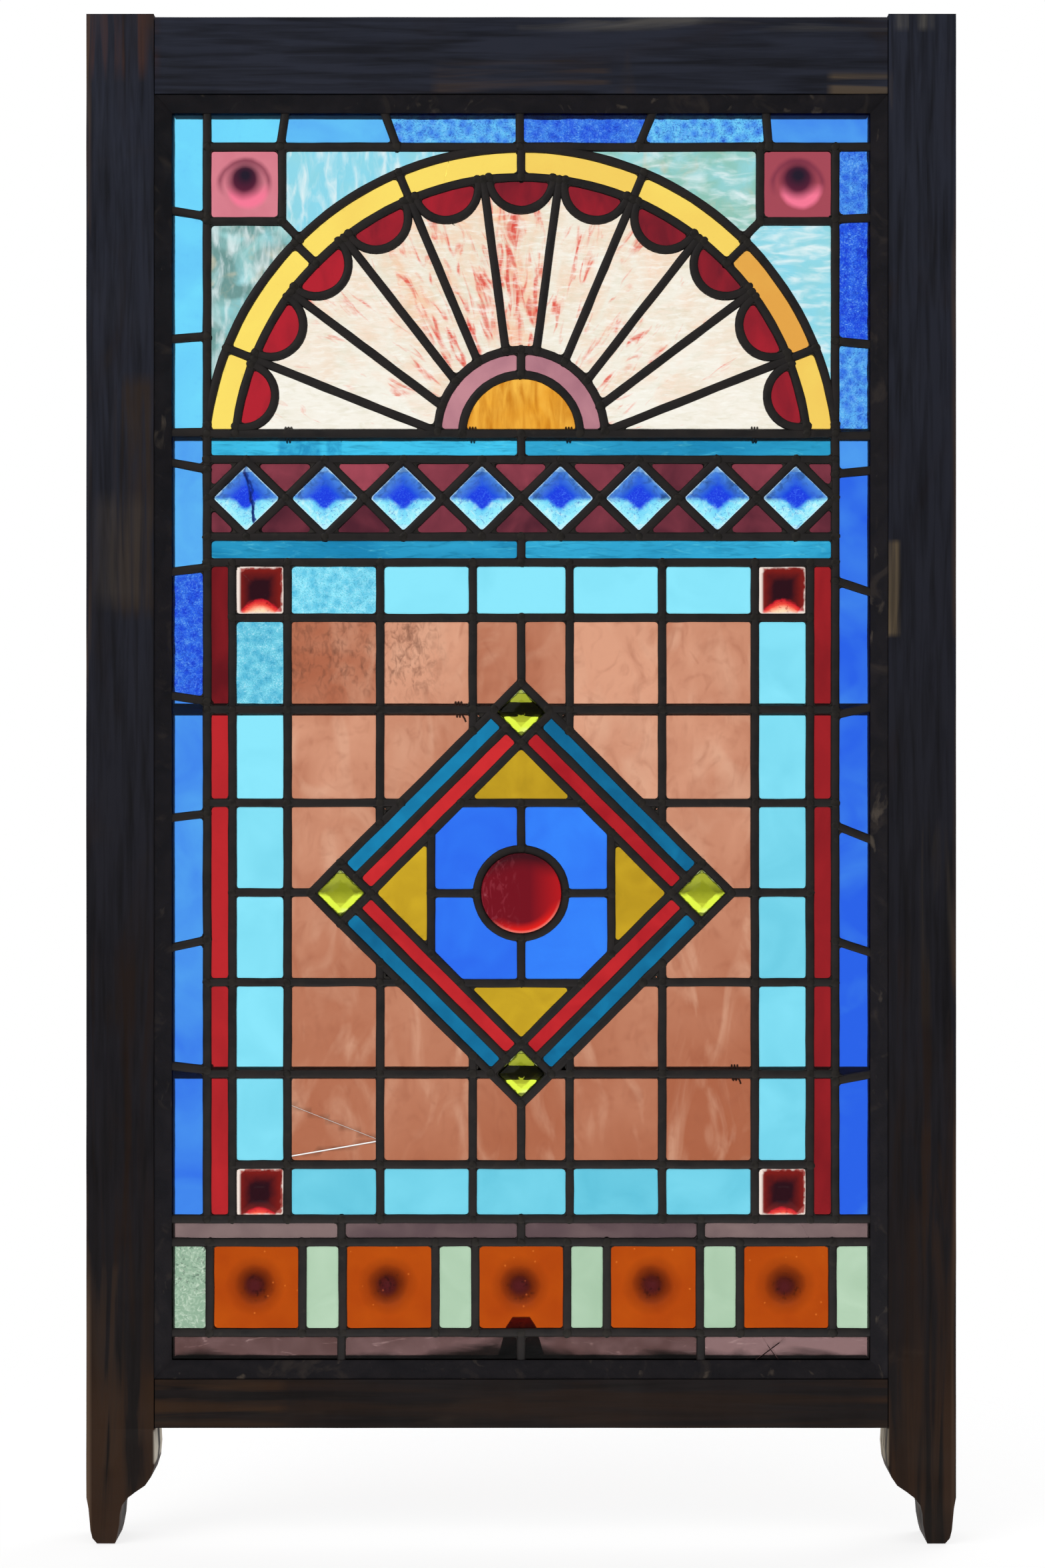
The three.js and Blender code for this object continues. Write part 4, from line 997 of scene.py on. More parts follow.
def map_outwards(pane, number, chance):
    """Lays the pane's map across and along its own middle line, slightly askew."""
    middle = scallop_angles()[number] + chance.uniform(-0.15, 0.15)
    across = Vector((math.cos(middle), -math.sin(middle)))
    along = Vector((math.sin(middle), math.cos(middle)))
    shift = chance.uniform(0, 90)

    def place(co):
        flat = Vector((co.x, co.z - ARCH["z"])) / 10
        return (flat.dot(across) + shift, flat.dot(along) + shift)

    lay_map(pane, "outwards", place)


def crack(pane, start, end, width, through):
    """A crack along a line that ends inside the pane: a slot right through it, or a fine groove."""
    (x0, z0), (x1, z1) = start, end
    length = math.hypot(x1 - x0, z1 - z0)
    along = Vector(((x1 - x0) / length, 0, (z1 - z0) / length))
    across = Vector((-along.z, 0, along.x))
    middle = Vector(((x0 + x1) / 2, 0, (z0 + z1) / 2))
    cuts = [(across, width * side) for side in ((-0.5, 0.5) if through else (-0.5, 0, 0.5))]
    for normal, off in cuts + [(along, -length / 2), (along, length / 2)]:
        bisect(pane, middle + normal * off, normal, 0.01)

    def within(place, wide, short=0.0):
        off = place - middle
        return abs(off.dot(across)) < wide and abs(off.dot(along)) < length / 2 - short

    if through:
        gone = [f for f in pane.faces
                if abs(f.normal.y) > 0.5 and within(f.calc_center_median(), width / 2)]
        bmesh.ops.delete(pane, geom=gone, context="FACES")
        bmesh.ops.bridge_loops(pane, edges=[e for e in pane.edges if e.is_boundary])
        return
    for vert in pane.verts:
        if within(vert.co, 0.05, 0.05) and is_front(vert):
            vert.co.y += GROOVE_DEPTH


# ---- Leads -----------------------------------------------------------------------------------

LEAD_PROFILE = [(-1, 0), (-0.94, 0.5), (-0.6, 0.9), (0, 1), (0.6, 0.9), (0.94, 0.5), (1, 0)]


def lead_lines():
    """The middle line of every lead, as lists of points."""
    x, top, bottom = EDGE["x"], EDGE["top"], EDGE["bottom"]
    lines = [
        [(-x, bottom), (-x, top)], [(x, bottom), (x, top)], [(-x, top), (x, top)],
        [(-x, bottom), (x, bottom)], [(-X_BORDER, Z_FIELD_BOTTOM), (-X_BORDER, top)],
        [(X_BORDER, Z_FIELD_BOTTOM), (X_BORDER, Z_BORDER)], [(-X_BORDER, Z_BORDER), (x, Z_BORDER)],
    ]
    lines += [[(-x, z), (x, z)] for z in (Z_FIELD_BOTTOM, Z_LILAC, Z_ORANGE)]
    lines += [[(-X_BORDER, z), (X_BORDER, z)] for z in (Z_FAN, Z_STRIP_A, Z_STRIP_B, Z_FIELD_TOP)]
    lines += [[(outer, top), (inner, Z_BORDER)] for outer, inner in BORDER_TOP]
    for side, ends in ((-1, BORDER_LEFT), (1, BORDER_RIGHT)):
        lines += [[(side * x, outer), (side * X_BORDER, inner)] for outer, inner in ends]
    return lines + band_lines() + field_lines() + diamond_lines() + head_lines()


def band_lines():
    lines = [[(0, Z_STRIP_A), (0, Z_FAN)], [(0, Z_FIELD_TOP), (0, Z_STRIP_B)]]
    for i in range(BAND_JEWELS):
        left = -X_BORDER + i * JEWEL_PITCH
        middle, right = left + JEWEL_PITCH / 2, left + JEWEL_PITCH
        for z in (Z_STRIP_A, Z_STRIP_B):
            lines += [[(left, Z_BAND), (middle, z)], [(middle, z), (right, Z_BAND)]]
    return lines


def field_lines():
    reach = DIAMOND["outer"] * math.sqrt(2)
    middle = DIAMOND["z"]
    lines = []
    for x in both_ways([COLUMNS[2], X_RUBY]):
        lines.append([(x, Z_FIELD_BOTTOM), (x, Z_FIELD_TOP)])
    for x in both_ways(COLUMNS[:2]):
        lines.append([(x, Z_FIELD_TOP), (x, middle + reach - abs(x))])
        lines.append([(x, Z_FIELD_BOTTOM), (x, middle - reach + abs(x))])
    lines += [[(0, ROWS[0]), (0, middle + reach)], [(0, ROWS[-1]), (0, middle - reach)]]
    for z in ROWS:
        inner = max(0, reach - abs(z - middle))
        if inner:
            lines += [[(side * inner, z), (side * X_RUBY, z)] for side in (-1, 1)]
        else:
            lines.append([(-X_RUBY, z), (X_RUBY, z)])
    for z in (ROWS[1], ROWS[2], ROWS[4], ROWS[5]):
        lines += [[(side * X_RUBY, z), (side * X_BORDER, z)] for side in (-1, 1)]
    lines += [[(x, Z_ORANGE), (x, Z_LILAC)] for x in both_ways(ORANGE_COLUMNS)]
    for low, high in ((Z_LILAC, Z_FIELD_BOTTOM), (EDGE["bottom"], Z_ORANGE)):
        lines += [[(x, low), (x, high)] for x in (-LILAC_SPLIT, 0, LILAC_SPLIT)]
    return lines


def diamond_lines():
    outer, inner = DIAMOND["outer"], DIAMOND["inner"]
    square = []
    for side in (-1, 1):
        for reach, run in ((outer, outer), (inner, outer), (DIAMOND["middle"], inner)):
            square += [[(-run, side * reach), (run, side * reach)],
                       [(side * reach, -run), (side * reach, run)]]
    lines = [[on_corner(p) for p in line] for line in square]
    half = inner * math.sqrt(2) - OCTAGON
    middle = DIAMOND["z"]
    for side in (-1, 1):
        lines += [
            [(-half, middle + side * OCTAGON), (half, middle + side * OCTAGON)],
            [(side * OCTAGON, middle - half), (side * OCTAGON, middle + half)],
            [(0, middle + side * ROUNDEL), (0, middle + side * OCTAGON)],
            [(side * ROUNDEL, middle), (side * OCTAGON, middle)],
        ]
    lines.append(arc(0, middle, ROUNDEL, 0, 2 * math.pi, 40))
    return lines


def head_lines():
    """The leads of the arch, the scallops, the fan and the spandrels."""
    centre = ARCH["z"]
    lines = []
    for radius in (ARCH["outer"], ARCH["inner"]):
        limit = lowest_angle(radius)
        lines.append(arc(0, centre, radius, -limit, limit, 72))

    def spoke(angle, near, far):
        return [round_at(reach, angle, 0, centre) for reach in (near, far)]

    for i in range(1 - YELLOWS // 2, YELLOWS // 2):
        lines.append(spoke(i * YELLOW_STEP, ARCH["inner"], ARCH["outer"]))
    for angle in scallop_angles():
        lines.append(arc(*round_at(SCALLOP["at"], angle, 0, centre), SCALLOP["radius"],
                         angle + math.pi / 2, angle + 1.5 * math.pi, 18))
    for angle in scallop_angles()[:-1]:
        half = angle + SCALLOP_STEP / 2
        lines.append(spoke(half, fan_start(half), ARCH["inner"]))
    for radius in (MAUVE["outer"], MAUVE["inner"]):
        lines.append(arc(0, Z_FAN, radius, -math.pi / 2, math.pi / 2, 24))
    lines.append([(0, Z_FAN + MAUVE["inner"]), (0, Z_FAN + MAUVE["outer"])])
    x, z = RONDEL_CELL
    share = ARCH["outer"] / math.hypot(x, z - centre)
    for side in (-1, 1):
        lines += [
            [(side * x, z), (side * x, Z_BORDER)], [(side * x, z), (side * X_BORDER, z)],
            [(side * x, z), (side * x * share, centre + (z - centre) * share)],
        ]
    return lines


def spaced(line, step=11):
    """The line with further points, no more than a step apart."""
    points = [line[0]]
    for (x0, z0), (x1, z1) in zip(line, line[1:]):
        parts = max(1, round(math.hypot(x1 - x0, z1 - z0) / step))
        points += [(x0 + (x1 - x0) * i / parts, z0 + (z1 - z0) * i / parts)
                   for i in range(1, parts + 1)]
    return points


def came(line, side, crown):
    """One rounded strip of lead along a line, dressed by hand so never quite straight."""
    bm = bmesh.new()
    points = [Vector((x, 0, z)) for x, z in spaced(line)]
    last = len(points) - 1
    closed = (points[0] - points[-1]).length < 0.01
    frames = []
    for i, point in enumerate(points):
        before, after = points[max(0, i - 1)], points[min(last, i + 1)]
        if closed and i in (0, last):
            before, after = points[last - 1], points[1]
        along = (after - before).normalized()
        across = Vector((-along.z, 0, along.x))
        spot = Vector((point.x / 23, 7.7, point.z / 23))
        drift = 0.3 * noise.noise(spot)
        wide = CAME_HALF * (1 + 0.07 * noise.noise(spot * 2.3))
        tall = crown * (1 + 0.1 * noise.noise(spot * 1.7)) * side
        at = point + across * drift
        frames.append(axes(across * wide, (0, tall, 0), along, (at.x, sheet_face(side), at.z)))
    ring = [bm.verts.new(frames[0] @ Vector((u, v, 0))) for u, v in LEAD_PROFILE]
    edges = [bm.edges.new((a, b)) for a, b in zip(ring, ring[1:] + ring[:1])]
    return sweep(bm, edges, frames)


def measured(line):
    """The line's points with the length run at each."""
    run, lengths = 0.0, [0.0]
    for (x0, z0), (x1, z1) in zip(line, line[1:]):
        run += math.hypot(x1 - x0, z1 - z0)
        lengths.append(run)
    return lengths


def point_along(line, lengths, at):
    for i in range(len(line) - 1):
        if at <= lengths[i + 1]:
            share = (at - lengths[i]) / (lengths[i + 1] - lengths[i])
            return Vector(line[i]).lerp(Vector(line[i + 1]), share)
    return Vector(line[-1])


def nearest_run(line, lengths, spot):
    """How far along the line its closest point to a spot is, and how close it comes."""
    best = (1e9, 0.0)
    for i in range(len(line) - 1):
        a, b = Vector(line[i]), Vector(line[i + 1])
        _, share = geometry.intersect_point_line(spot, a, b)
        share = min(1, max(0, share))
        gap = (a.lerp(b, share) - spot).length
        best = min(best, (gap, lengths[i] + share * (lengths[i + 1] - lengths[i])))
    return best


def meeting_points(lines):
    """Where leads end on or cross one another, each with the directions that leads leave it."""
    points = [end for line in lines for end in (line[0], line[-1])]
    for a, b in itertools.combinations(lines, 2):
        for p, q in zip(a, a[1:]):
            for r, s in zip(b, b[1:]):
                hit = geometry.intersect_line_line_2d(p, q, r, s)
                if hit:
                    points.append(tuple(hit))
    kept = []
    for x, z in points:
        if all(math.hypot(x - u, z - w) > 3.2 for u, w in kept):
            kept.append((x, z))
    runs = [(line, measured(line)) for line in lines]
    return [(spot, leaving(Vector(spot), runs)) for spot in kept]


def leaving(spot, runs, look=7.0):
    """Angles at which leads leave a joint, in order round it."""
    angles = []
    for line, lengths in runs:
        gap, at = nearest_run(line, lengths, spot)
        if gap > 2.4:
            continue
        for step in (-look, look):
            if 0 <= at + step * 0.6 and at + step * 0.6 <= lengths[-1]:
                away = point_along(line, lengths, min(lengths[-1], max(0, at + step))) - spot
                angle = math.atan2(away.y, away.x)
                if all(abs(math.remainder(angle - other, 2 * math.pi)) > 0.2 for other in angles):
                    angles.append(angle)
    return sorted(angles)


def solder_web(spot, angles, side, crown, chance):
    """Solder run into the corners between the leads that meet at a joint."""
    bm = bmesh.new()
    depth = sheet_face(side)
    for i, start in enumerate(angles):
        turn = (angles[(i + 1) % len(angles)] - start) % (2 * math.pi)
        if turn > math.radians(172) or turn < math.radians(8):
            continue
        half = turn / 2
        radius = chance.uniform(1.2, 2.4)
        bisector = Vector((math.cos(start + half), math.sin(start + half)))
        corner = (CAME_HALF - 0.5) / math.sin(half)
        centre = Vector(spot) + bisector * (CAME_HALF + radius) / math.sin(half)
        reach = math.pi / 2 - half
        curve = []
        for k in range(7):
            angle = start + half + math.pi + reach * (1 - k / 3)
            curve.append(centre + radius * Vector((math.cos(angle), math.sin(angle))))
        first, last = (centre + (p - centre) * ((radius + 0.9) / radius)
                       for p in (curve[0], curve[-1]))
        outline = curve + [last, Vector(spot) + bisector * corner, first]
        face = bm.faces.new([bm.verts.new((p.x, depth - side * 0.2, p.y)) for p in outline])
        made = bmesh.ops.extrude_face_region(bm, geom=[face])["geom"]
        top = of_kind(made, bmesh.types.BMFace)
        bmesh.ops.translate(bm, vec=(0, side * (0.2 + crown * 0.62), 0), verts=top[0].verts[:])
        bmesh.ops.inset_region(bm, faces=top, thickness=0.4, depth=0)
        bmesh.ops.translate(bm, vec=(0, side * 0.35, 0), verts=top[0].verts[:])
    return bm


def solder_lump(spot, side, crown, chance):
    """A flat lump of solder wiped over a joint."""
    bm = bmesh.new()
    bmesh.ops.create_icosphere(bm, subdivisions=2, radius=1)
    turn = Matrix.Rotation(chance.uniform(0, 6), 4, "Y")
    size = Matrix.Diagonal((chance.uniform(3.0, 3.9), chance.uniform(0.7, 0.95),
                            chance.uniform(2.9, 3.6), 1))
    for vert in bm.verts:
        vert.co *= 1 + 0.1 * noise.noise(vert.co * 1.6 + Vector((spot[0], 0, spot[1])))
    place = Matrix.Translation((spot[0], sheet_face(side) + side * (crown - 0.2), spot[1]))
    bmesh.ops.transform(bm, matrix=place @ turn @ size, verts=bm.verts)
    return bm


def tie_wire(x, z, tail_turns):
    """Copper wire twisted round a saddle bar and snipped, with a short or a loose tail."""
    points = []
    turns, steps = 2.4, 34
    radius = SADDLE_RADIUS + 0.9
    for i in range(steps + 1):
        angle = 2 * math.pi * turns * i / steps
        points.append(Vector((x + (i / steps - 0.5) * 5, SADDLE_Y - radius * math.cos(angle),
                              z + radius * math.sin(angle))))
    tail = points[-1]
    for i in range(1, tail_turns + 1):
        angle = i * 1.1
        points.append(tail + Vector((0.8 * math.sin(angle) + i * 0.3, 0.5 * i,
                                     -i * 1.8 + 0.8 * math.cos(angle))))
    return tube(points, 0.75, 6)


def tube(points, radius, sides):
    """A closed round wire along points."""
    bm = bmesh.new()
    frames = []
    up = Vector((0.3, 0.2, 1)).normalized()
    for i, point in enumerate(points):
        along = (points[min(len(points) - 1, i + 1)] - points[max(0, i - 1)]).normalized()
        across = along.cross(up).normalized()
        up = across.cross(along).normalized()
        frames.append(axes(across, up, along, point))
    made = bmesh.ops.create_circle(bm, segments=sides, radius=radius, cap_ends=False,
                                   matrix=frames[0])
    return sweep(bm, list({e for v in made["verts"] for e in v.link_edges}), frames)


# ---- Jewels, rondels and the roundel ---------------------------------------------------------


def jewel(cx, cz, reach, turned, chance):
    """A square jewel pressed with four facets and a small table, its surface never quite flat."""
    bm = bmesh.new()
    bmesh.ops.create_grid(bm, x_segments=1, y_segments=1, size=reach,
                          matrix=Matrix.Rotation(math.pi / 2, 4, "X"))
    bm.faces.ensure_lookup_table()
    face = bm.faces[0]
    if face.normal.y > 0:
        bmesh.ops.reverse_faces(bm, faces=[face])
    for vert in bm.verts:
        vert.co.y = GLASS_BACK
    front = of_kind(bmesh.ops.extrude_face_region(bm, geom=[face])["geom"], bmesh.types.BMFace)
    bmesh.ops.translate(bm, vec=(0, -GLASS_THICK, 0), verts=front[0].verts[:])
    for inset, rise in ((1.1, 0), (0.5, 1.4), (reach * 0.63, JEWEL_STANDS - 1.4), (1.2, -0.7)):
        bmesh.ops.inset_region(bm, faces=front, thickness=inset, use_even_offset=True)
        bmesh.ops.translate(bm, vec=(0, -rise, 0), verts=front[0].verts[:])
    ease(bm, [e for e in bm.edges if all(v.co.y < GLASS_FRONT - 0.2 for v in e.verts)], 0.7)
    bmesh.ops.subdivide_edges(bm, edges=[e for e in bm.edges if e.calc_length() > 3], cuts=4,
                              use_grid_fill=True)
    split_big_faces(bm)
    seed = Vector((chance.uniform(0, 50), 0, chance.uniform(0, 50)))
    for vert in bm.verts:
        if vert.co.y < GLASS_FRONT - 0.5:
            vert.co += 0.35 * noise.noise_vector(vert.co / 5 + seed)
    rings = [max(abs(v.co.x), abs(v.co.z)) / reach for v in bm.verts]
    bmesh.ops.transform(bm, matrix=Matrix.Rotation(turned, 4, "Y"), verts=bm.verts)
    span = reach * (math.sqrt(2) if turned else 1)
    lay_map(bm, "across", lambda co: (co.x / span, co.z / span))
    bmesh.ops.translate(bm, vec=(cx, 0, cz), verts=bm.verts)
    return bm, rings


def pressed_square(x0, z0, x1, z1, stands, dish):
    """A square pane with a round boss pressed up out of it."""
    bm = cut_pane(rectangle(x0, z0, x1, z1), 1.7)
    cx, cz, half = (x0 + x1) / 2, (z0 + z1) / 2, (x1 - x0) / 2
    edge = []
    for vert in bm.verts:
        edge.append(float(on_rim(vert)))
        if on_rim(vert) or not is_front(vert):
            continue
        reach = math.hypot(vert.co.x - cx, vert.co.z - cz) / BOSS_RADIUS
        swell = 0.5 + 0.5 * math.cos(math.pi * min(1, reach))
        hollow = math.exp(-(reach * 2.6) ** 2)
        vert.co.y -= stands * swell - dish * hollow
        vert.co.y -= 0.12 * noise.noise(vert.co / 9)
    lay_map(bm, "across", lambda co: ((co.x - cx) / half, (co.z - cz) / half))
    return bm, edge


def turned_roundel():
    """The ruby roundel: a thick dished disc with a rounded rim, spun on its middle."""
    bm = bmesh.new()
    radius = ROUNDEL - CLEAR
    profile = [(r, GLASS_FRONT - rise) for r, rise in ROUNDEL_PROFILE]
    profile += [(radius, GLASS_FRONT), (radius, GLASS_BACK), (0, GLASS_BACK)]
    verts = [bm.verts.new((r, y, 0)) for r, y in profile]
    edges = [bm.edges.new(pair) for pair in zip(verts, verts[1:])]
    bmesh.ops.spin(bm, geom=verts + edges, cent=(0, 0, 0), axis=(0, 1, 0),
                   angle=2 * math.pi, steps=64, use_merge=True)
    bmesh.ops.remove_doubles(bm, verts=bm.verts, dist=0.01)
    rings = []
    for vert in bm.verts:
        rings.append(math.hypot(vert.co.x, vert.co.z) / radius)
        if vert.co.y < GLASS_FRONT - 1:
            vert.co.y += 0.3 * noise.noise(vert.co / 8)
    lay_map(bm, "across", lambda co: (co.x / radius, co.z / radius))
    bmesh.ops.translate(bm, vec=(0, 0, DIAMOND["z"]), verts=bm.verts)
    return bm, rings


# ---- Timber, putty and iron ------------------------------------------------------------------


def worn_copy(node, bevel, step, axis, wear, lump):
    """A copy of a CAD piece with its arrises eased and its faces worn a little hollow."""
    bm = bmesh.new()
    bm.from_mesh(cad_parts[node].data)
    bmesh.ops.transform(bm, matrix=TO_MM, verts=bm.verts)
    bmesh.ops.remove_doubles(bm, verts=bm.verts, dist=0.02)
    bmesh.ops.dissolve_limit(bm, angle_limit=math.radians(1), verts=bm.verts, edges=bm.edges)
    ease(bm, [e for e in bm.edges if e.calc_face_angle(0) > math.radians(40)], bevel)
    for across in axis:
        slice_up(bm, across, step, 0.001)
    bm.normal_update()
    moves = []
    for vert in bm.verts:
        deep = 0.5 + 0.5 * noise.noise(vert.co / lump)
        fine = 0.5 + 0.5 * noise.noise(vert.co / (lump / 4) + Vector((9, 4, 2)))
        moves.append(vert.normal * -(wear * deep + wear * 0.5 * fine))
    for vert, move in zip(bm.verts, moves):
        vert.co += move
    split_big_faces(bm)
    return bm


SADDLE_LOW, SADDLE_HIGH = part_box("saddle_bar_1")
SADDLE_RADIUS = (SADDLE_HIGH.z - SADDLE_LOW.z) / 2 / MM
SADDLE_Y = (SADDLE_HIGH.y + SADDLE_LOW.y) / 2 / MM


def saddle_bar(z):
    """A round iron bar, a little uneven from the forge, let into both stiles."""
    reach, steps = SADDLE_HIGH.x / MM, 60
    bm = tube([Vector((-reach + 2 * reach * i / steps, SADDLE_Y, z)) for i in range(steps + 1)],
              SADDLE_RADIUS - 0.12, 20)
    for vert in bm.verts:
        off = Vector((0, vert.co.y - SADDLE_Y, vert.co.z - z))
        vert.co -= off * (0.02 + 0.02 * noise.noise(vert.co / 13))
    return bm


# ---- The sash --------------------------------------------------------------------------------


def dress_timber():
    for nodes, upright, axis in ((("stile_left", "stile_right"), True, 2),
                                 (("rail_top", "rail_bottom"), False, 0)):
        finish = timber("upright_timber" if upright else "level_timber", upright)
        for node in nodes:
            bm = worn_copy(node, 1.0, 14, (axis,), 0.35, 60)
            finish_piece(f"worn_{node}", bm, finish, [node])
    finish_piece("putty_fillet", worn_copy("putty", 0.5, 7, (0, 2), 0.5, 16),
                 putty_finish(), ["putty"])


def dress_leads():
    lines = lead_lines()
    chance = random.Random("solder")
    joints = meeting_points(lines)
    leads, lumps = bmesh.new(), bmesh.new()
    for side, crown in ((-1, CROWN_FRONT), (1, CROWN_BACK)):
        for line in lines:
            gather(leads, came(line, side, crown))
        for spot, angles in joints:
            gather(lumps, solder_lump(spot, side, crown, chance))
            gather(lumps, solder_web(spot, angles, side, crown, chance))
    finish_piece("lead_strips", leads, OLD_LEAD, ["lead_cames"], crease=60)
    finish_piece("solder_joints", lumps, OLD_SOLDER, crease=50)


def dress_iron():
    for number, z in enumerate(SADDLE_BARS, 1):
        finish_piece(f"forged_bar_{number}", saddle_bar(z), RUSTED_IRON,
                     [f"saddle_bar_{number}"])
    wires = bmesh.new()
    chance = random.Random("wires")
    ties = [(x, z, 1) for z in SADDLE_BARS for x in WIRES] + [(x, z, 7) for x, z in LOOSE_WIRES]
    for x, z, tail_turns in ties:
        gather(wires, tie_wire(x + chance.uniform(-1, 1), z, tail_turns))
    finish_piece("tie_wires", wires, OLD_SOLDER)
    finish_piece("cast_keep", worn_copy("sash_keep", 0.6, 3, (0, 2), 0.15, 8), BUFF_PAINT,
                 ["sash_keep"])


def dress_border():
    glass_sheet("panes_border_blue", border_cells(), stained(
        "blue_cathedral", "72dcff", "2662ea", 45, vary=0.15,
        extra=squiggles(3.2, "1c3fae", 0.75, "9ad8ff")), (0.45, 18, 24),
        tones=BORDER_TONES, worked={2, 3, 4, 11, 16, 17, 18})


def dress_head():
    """The spandrels, the arch and the fan."""
    for word, side, murk, stretch, tones in (
            ("left", -1, "6a9490", (1.5, 1, 0.5), [0.05, 0.95]),
            ("right", 1, "8cc0aa", (0.5, 1, 1.7), [0.75, 0.1])):
        glass_sheet(f"panes_spandrel_{word}", spandrel_cells(side), stained(
            f"ripple_aqua_{word}", "8fdcf0", "9fd8d8", 30, vary=0.4,
            extra=murk_and_ripples(murk, stretch)), (0.8, 9, 20), tones=tones)
    glass_sheet("panes_arch_yellow", yellow_cells(), stained(
        "lemon_yellow", "ffe46a", "e6a648", 60, vary=0.12, seeds=0.08),
        tones=[0.05, 0, 0.1, 0.15, 0.35, 0.25, 0.95, 0.4], cracks=YELLOW_CRACKS)
    glass_sheet("panes_scallops_ruby", scallop_cells(), stained(
        "ruby_flash", "b4202f", "701826", 14, (1, 1, 0.5), (0, 0.6, 0), 0.35),
        tones=[0.15, 0.15, 0.1, 0.4, 0.4, 0.8, 0.65, 0.85, 0.85, 0.5, 0.5])
    glass_sheet("panes_rays_opal", ray_cells(), stained(
        "streaky_opal", "f9f5e9", "f0e6d2", 40, seeds=0.0, edge_dirt=0.4, extra=opal_streaks),
        (0.5, 14, 8), tones=[0.02, 0.3, 0.5, 0.7, 0.8, 1, 0.5, 0.5, 0.42, 0.3, 0.05],
        cracks=OPAL_CRACKS, radial=True)
    glass_sheet("panes_mauve", mauve_cells(), stained("mauve", "c68a94", "a8707e", 25),
                (0.4, 9, 9), "glass_mauve_ring", tones=[0.3, 0.6])
    quarter = math.pi / 2
    glass_sheet("pane_amber", [arc(0, Z_FAN, MAUVE["inner"], -quarter, quarter, 24)], stained(
        "streaky_amber", "fcc04c", "f0a62e", 25, extra=amber_streaks),
        (0.4, 8, 30), "glass_amber_half_round")


def dress_band():
    """The two cyan strips, and the triangles round the blue jewels."""
    halves = [-X_BORDER, 0, X_BORDER]
    cyan = stained("wavy_cyan", "40c6f0", "1686b6", 30, (0.4, 1, 1), vary=0.3, extra=water_lines)
    for word, low, high, tones, number, x in (
            ("upper", Z_STRIP_A, Z_FAN, [0.05, 0.8], 0, -133),
            ("lower", Z_FIELD_TOP, Z_STRIP_B, [0.9, 0.55], 1, 148)):
        glass_sheet(f"panes_strip_cyan_{word}", row_of(halves, low, high), cyan,
                    (0.5, 20, 5), tones=tones,
                    cracks=[(number, (x, high - 1.6), (x - 0.4, low + 1.6), 0.7, False)])
    glass_sheet("panes_burgundy", burgundy_cells(), stained(
        "burgundy", "a24655", "4e1e2c", 22, vary=0.2), solid="glass_band_burgundy",
        tones=[0.6, 0.7, 0.5, 0.9, 0.1, 0.95, 0.45, 0.6, 0.45, 0.85, 0.45, 0.75, 0.75,
               0.8, 0.45, 0.8, 0.6, 0.85])


def dress_field():
    """The ruby side strips, the light cyan border and the peach quarries."""
    ruby = stained("ruby_strip", "be242a", "620c16", 26, (1, 1, 0.4), vary=0.2)
    rows = [Z_FIELD_TOP, ROWS[1], ROWS[2], ROWS[4], ROWS[5], Z_FIELD_BOTTOM]
    for word, side, tones in (("left", -1, [0.95, 0.05, 0, 0.2, 0.15]),
                              ("right", 1, [0.5, 0.4, 0.55, 0.6, 0.65])):
        cells = [rectangle(side * X_RUBY, low, side * X_BORDER, high)
                 for high, low in zip(rows, rows[1:])]
        glass_sheet(f"panes_strip_ruby_{word}", cells, ruby, tones=tones)
    glass_sheet("panes_border_light_cyan", cyan_field_cells(), stained(
        "light_cyan", "8ceaff", "5fc3dd", 40, vary=0.2, seeds=0.05,
        extra=squiggles(3, "3f9cba", 0.6, "d0f6ff")), (0.35, 22, 22),
        worked={0, 10},
        tones=[0.05, 0.05, 0.05, 0.05, 0.1, 0.75, 0.5, 0.65, 0.75, 0.6,
               0.5, 0.1, 0.3, 0.15, 0.2, 0.35, 0.25, 0.35, 0.5, 0.55, 0.35, 0.4])
    glass_sheet("panes_field_peach", peach_cells(), stained(
        "mottled_peach", "dea183", "b0674a", 55, vary=0.35, seeds=0.05, extra=peach_mottle),
        (0.4, 35, 20), tones=PEACH_TONES, cracks=peach_cracks())


def peach_cracks():
    """Two cracks that run together in the quarry low on the left."""
    number = next(i for i, cell in enumerate(peach_cells())
                  if min(x for x, _ in cell) < -170 and min(z for _, z in cell) < 280)
    return [(number, (-171, 321), (-107.5, 296), 0.5, True),
            (number, (-171, 283), (-107.5, 294), 1.1, True)]


def dress_diamond():
    inner, middle, outer = DIAMOND["inner"], DIAMOND["middle"], DIAMOND["outer"]
    glass_sheet("panes_diamond_teal", diamond_strips(middle, outer), stained(
        "teal", "158cbe", "04628e", 20, vary=0.3), (0.4, 12, 12),
        tones=[0.75, 0.75, 0.35, 0.9])
    glass_sheet("panes_diamond_red", diamond_strips(inner, middle), stained(
        "bright_red", "d02a2e", "a41420", 20, vary=0.3), tones=[0.5, 0.4, 0.1, 0.85])
    gold = stained("gold", "d3ae24", "b8941a", 24)
    for number, cell in enumerate(gold_cells(), 1):
        glass_sheet(f"pane_gold_{number}", [cell], gold,
                    solid=f"glass_gold_triangle_{number}")
    glass_sheet("panes_octagon_blue", octagon_cells(), stained(
        "cobalt", "3486ff", "2a6cf2", 40, vary=0.4, seeds=0.05))


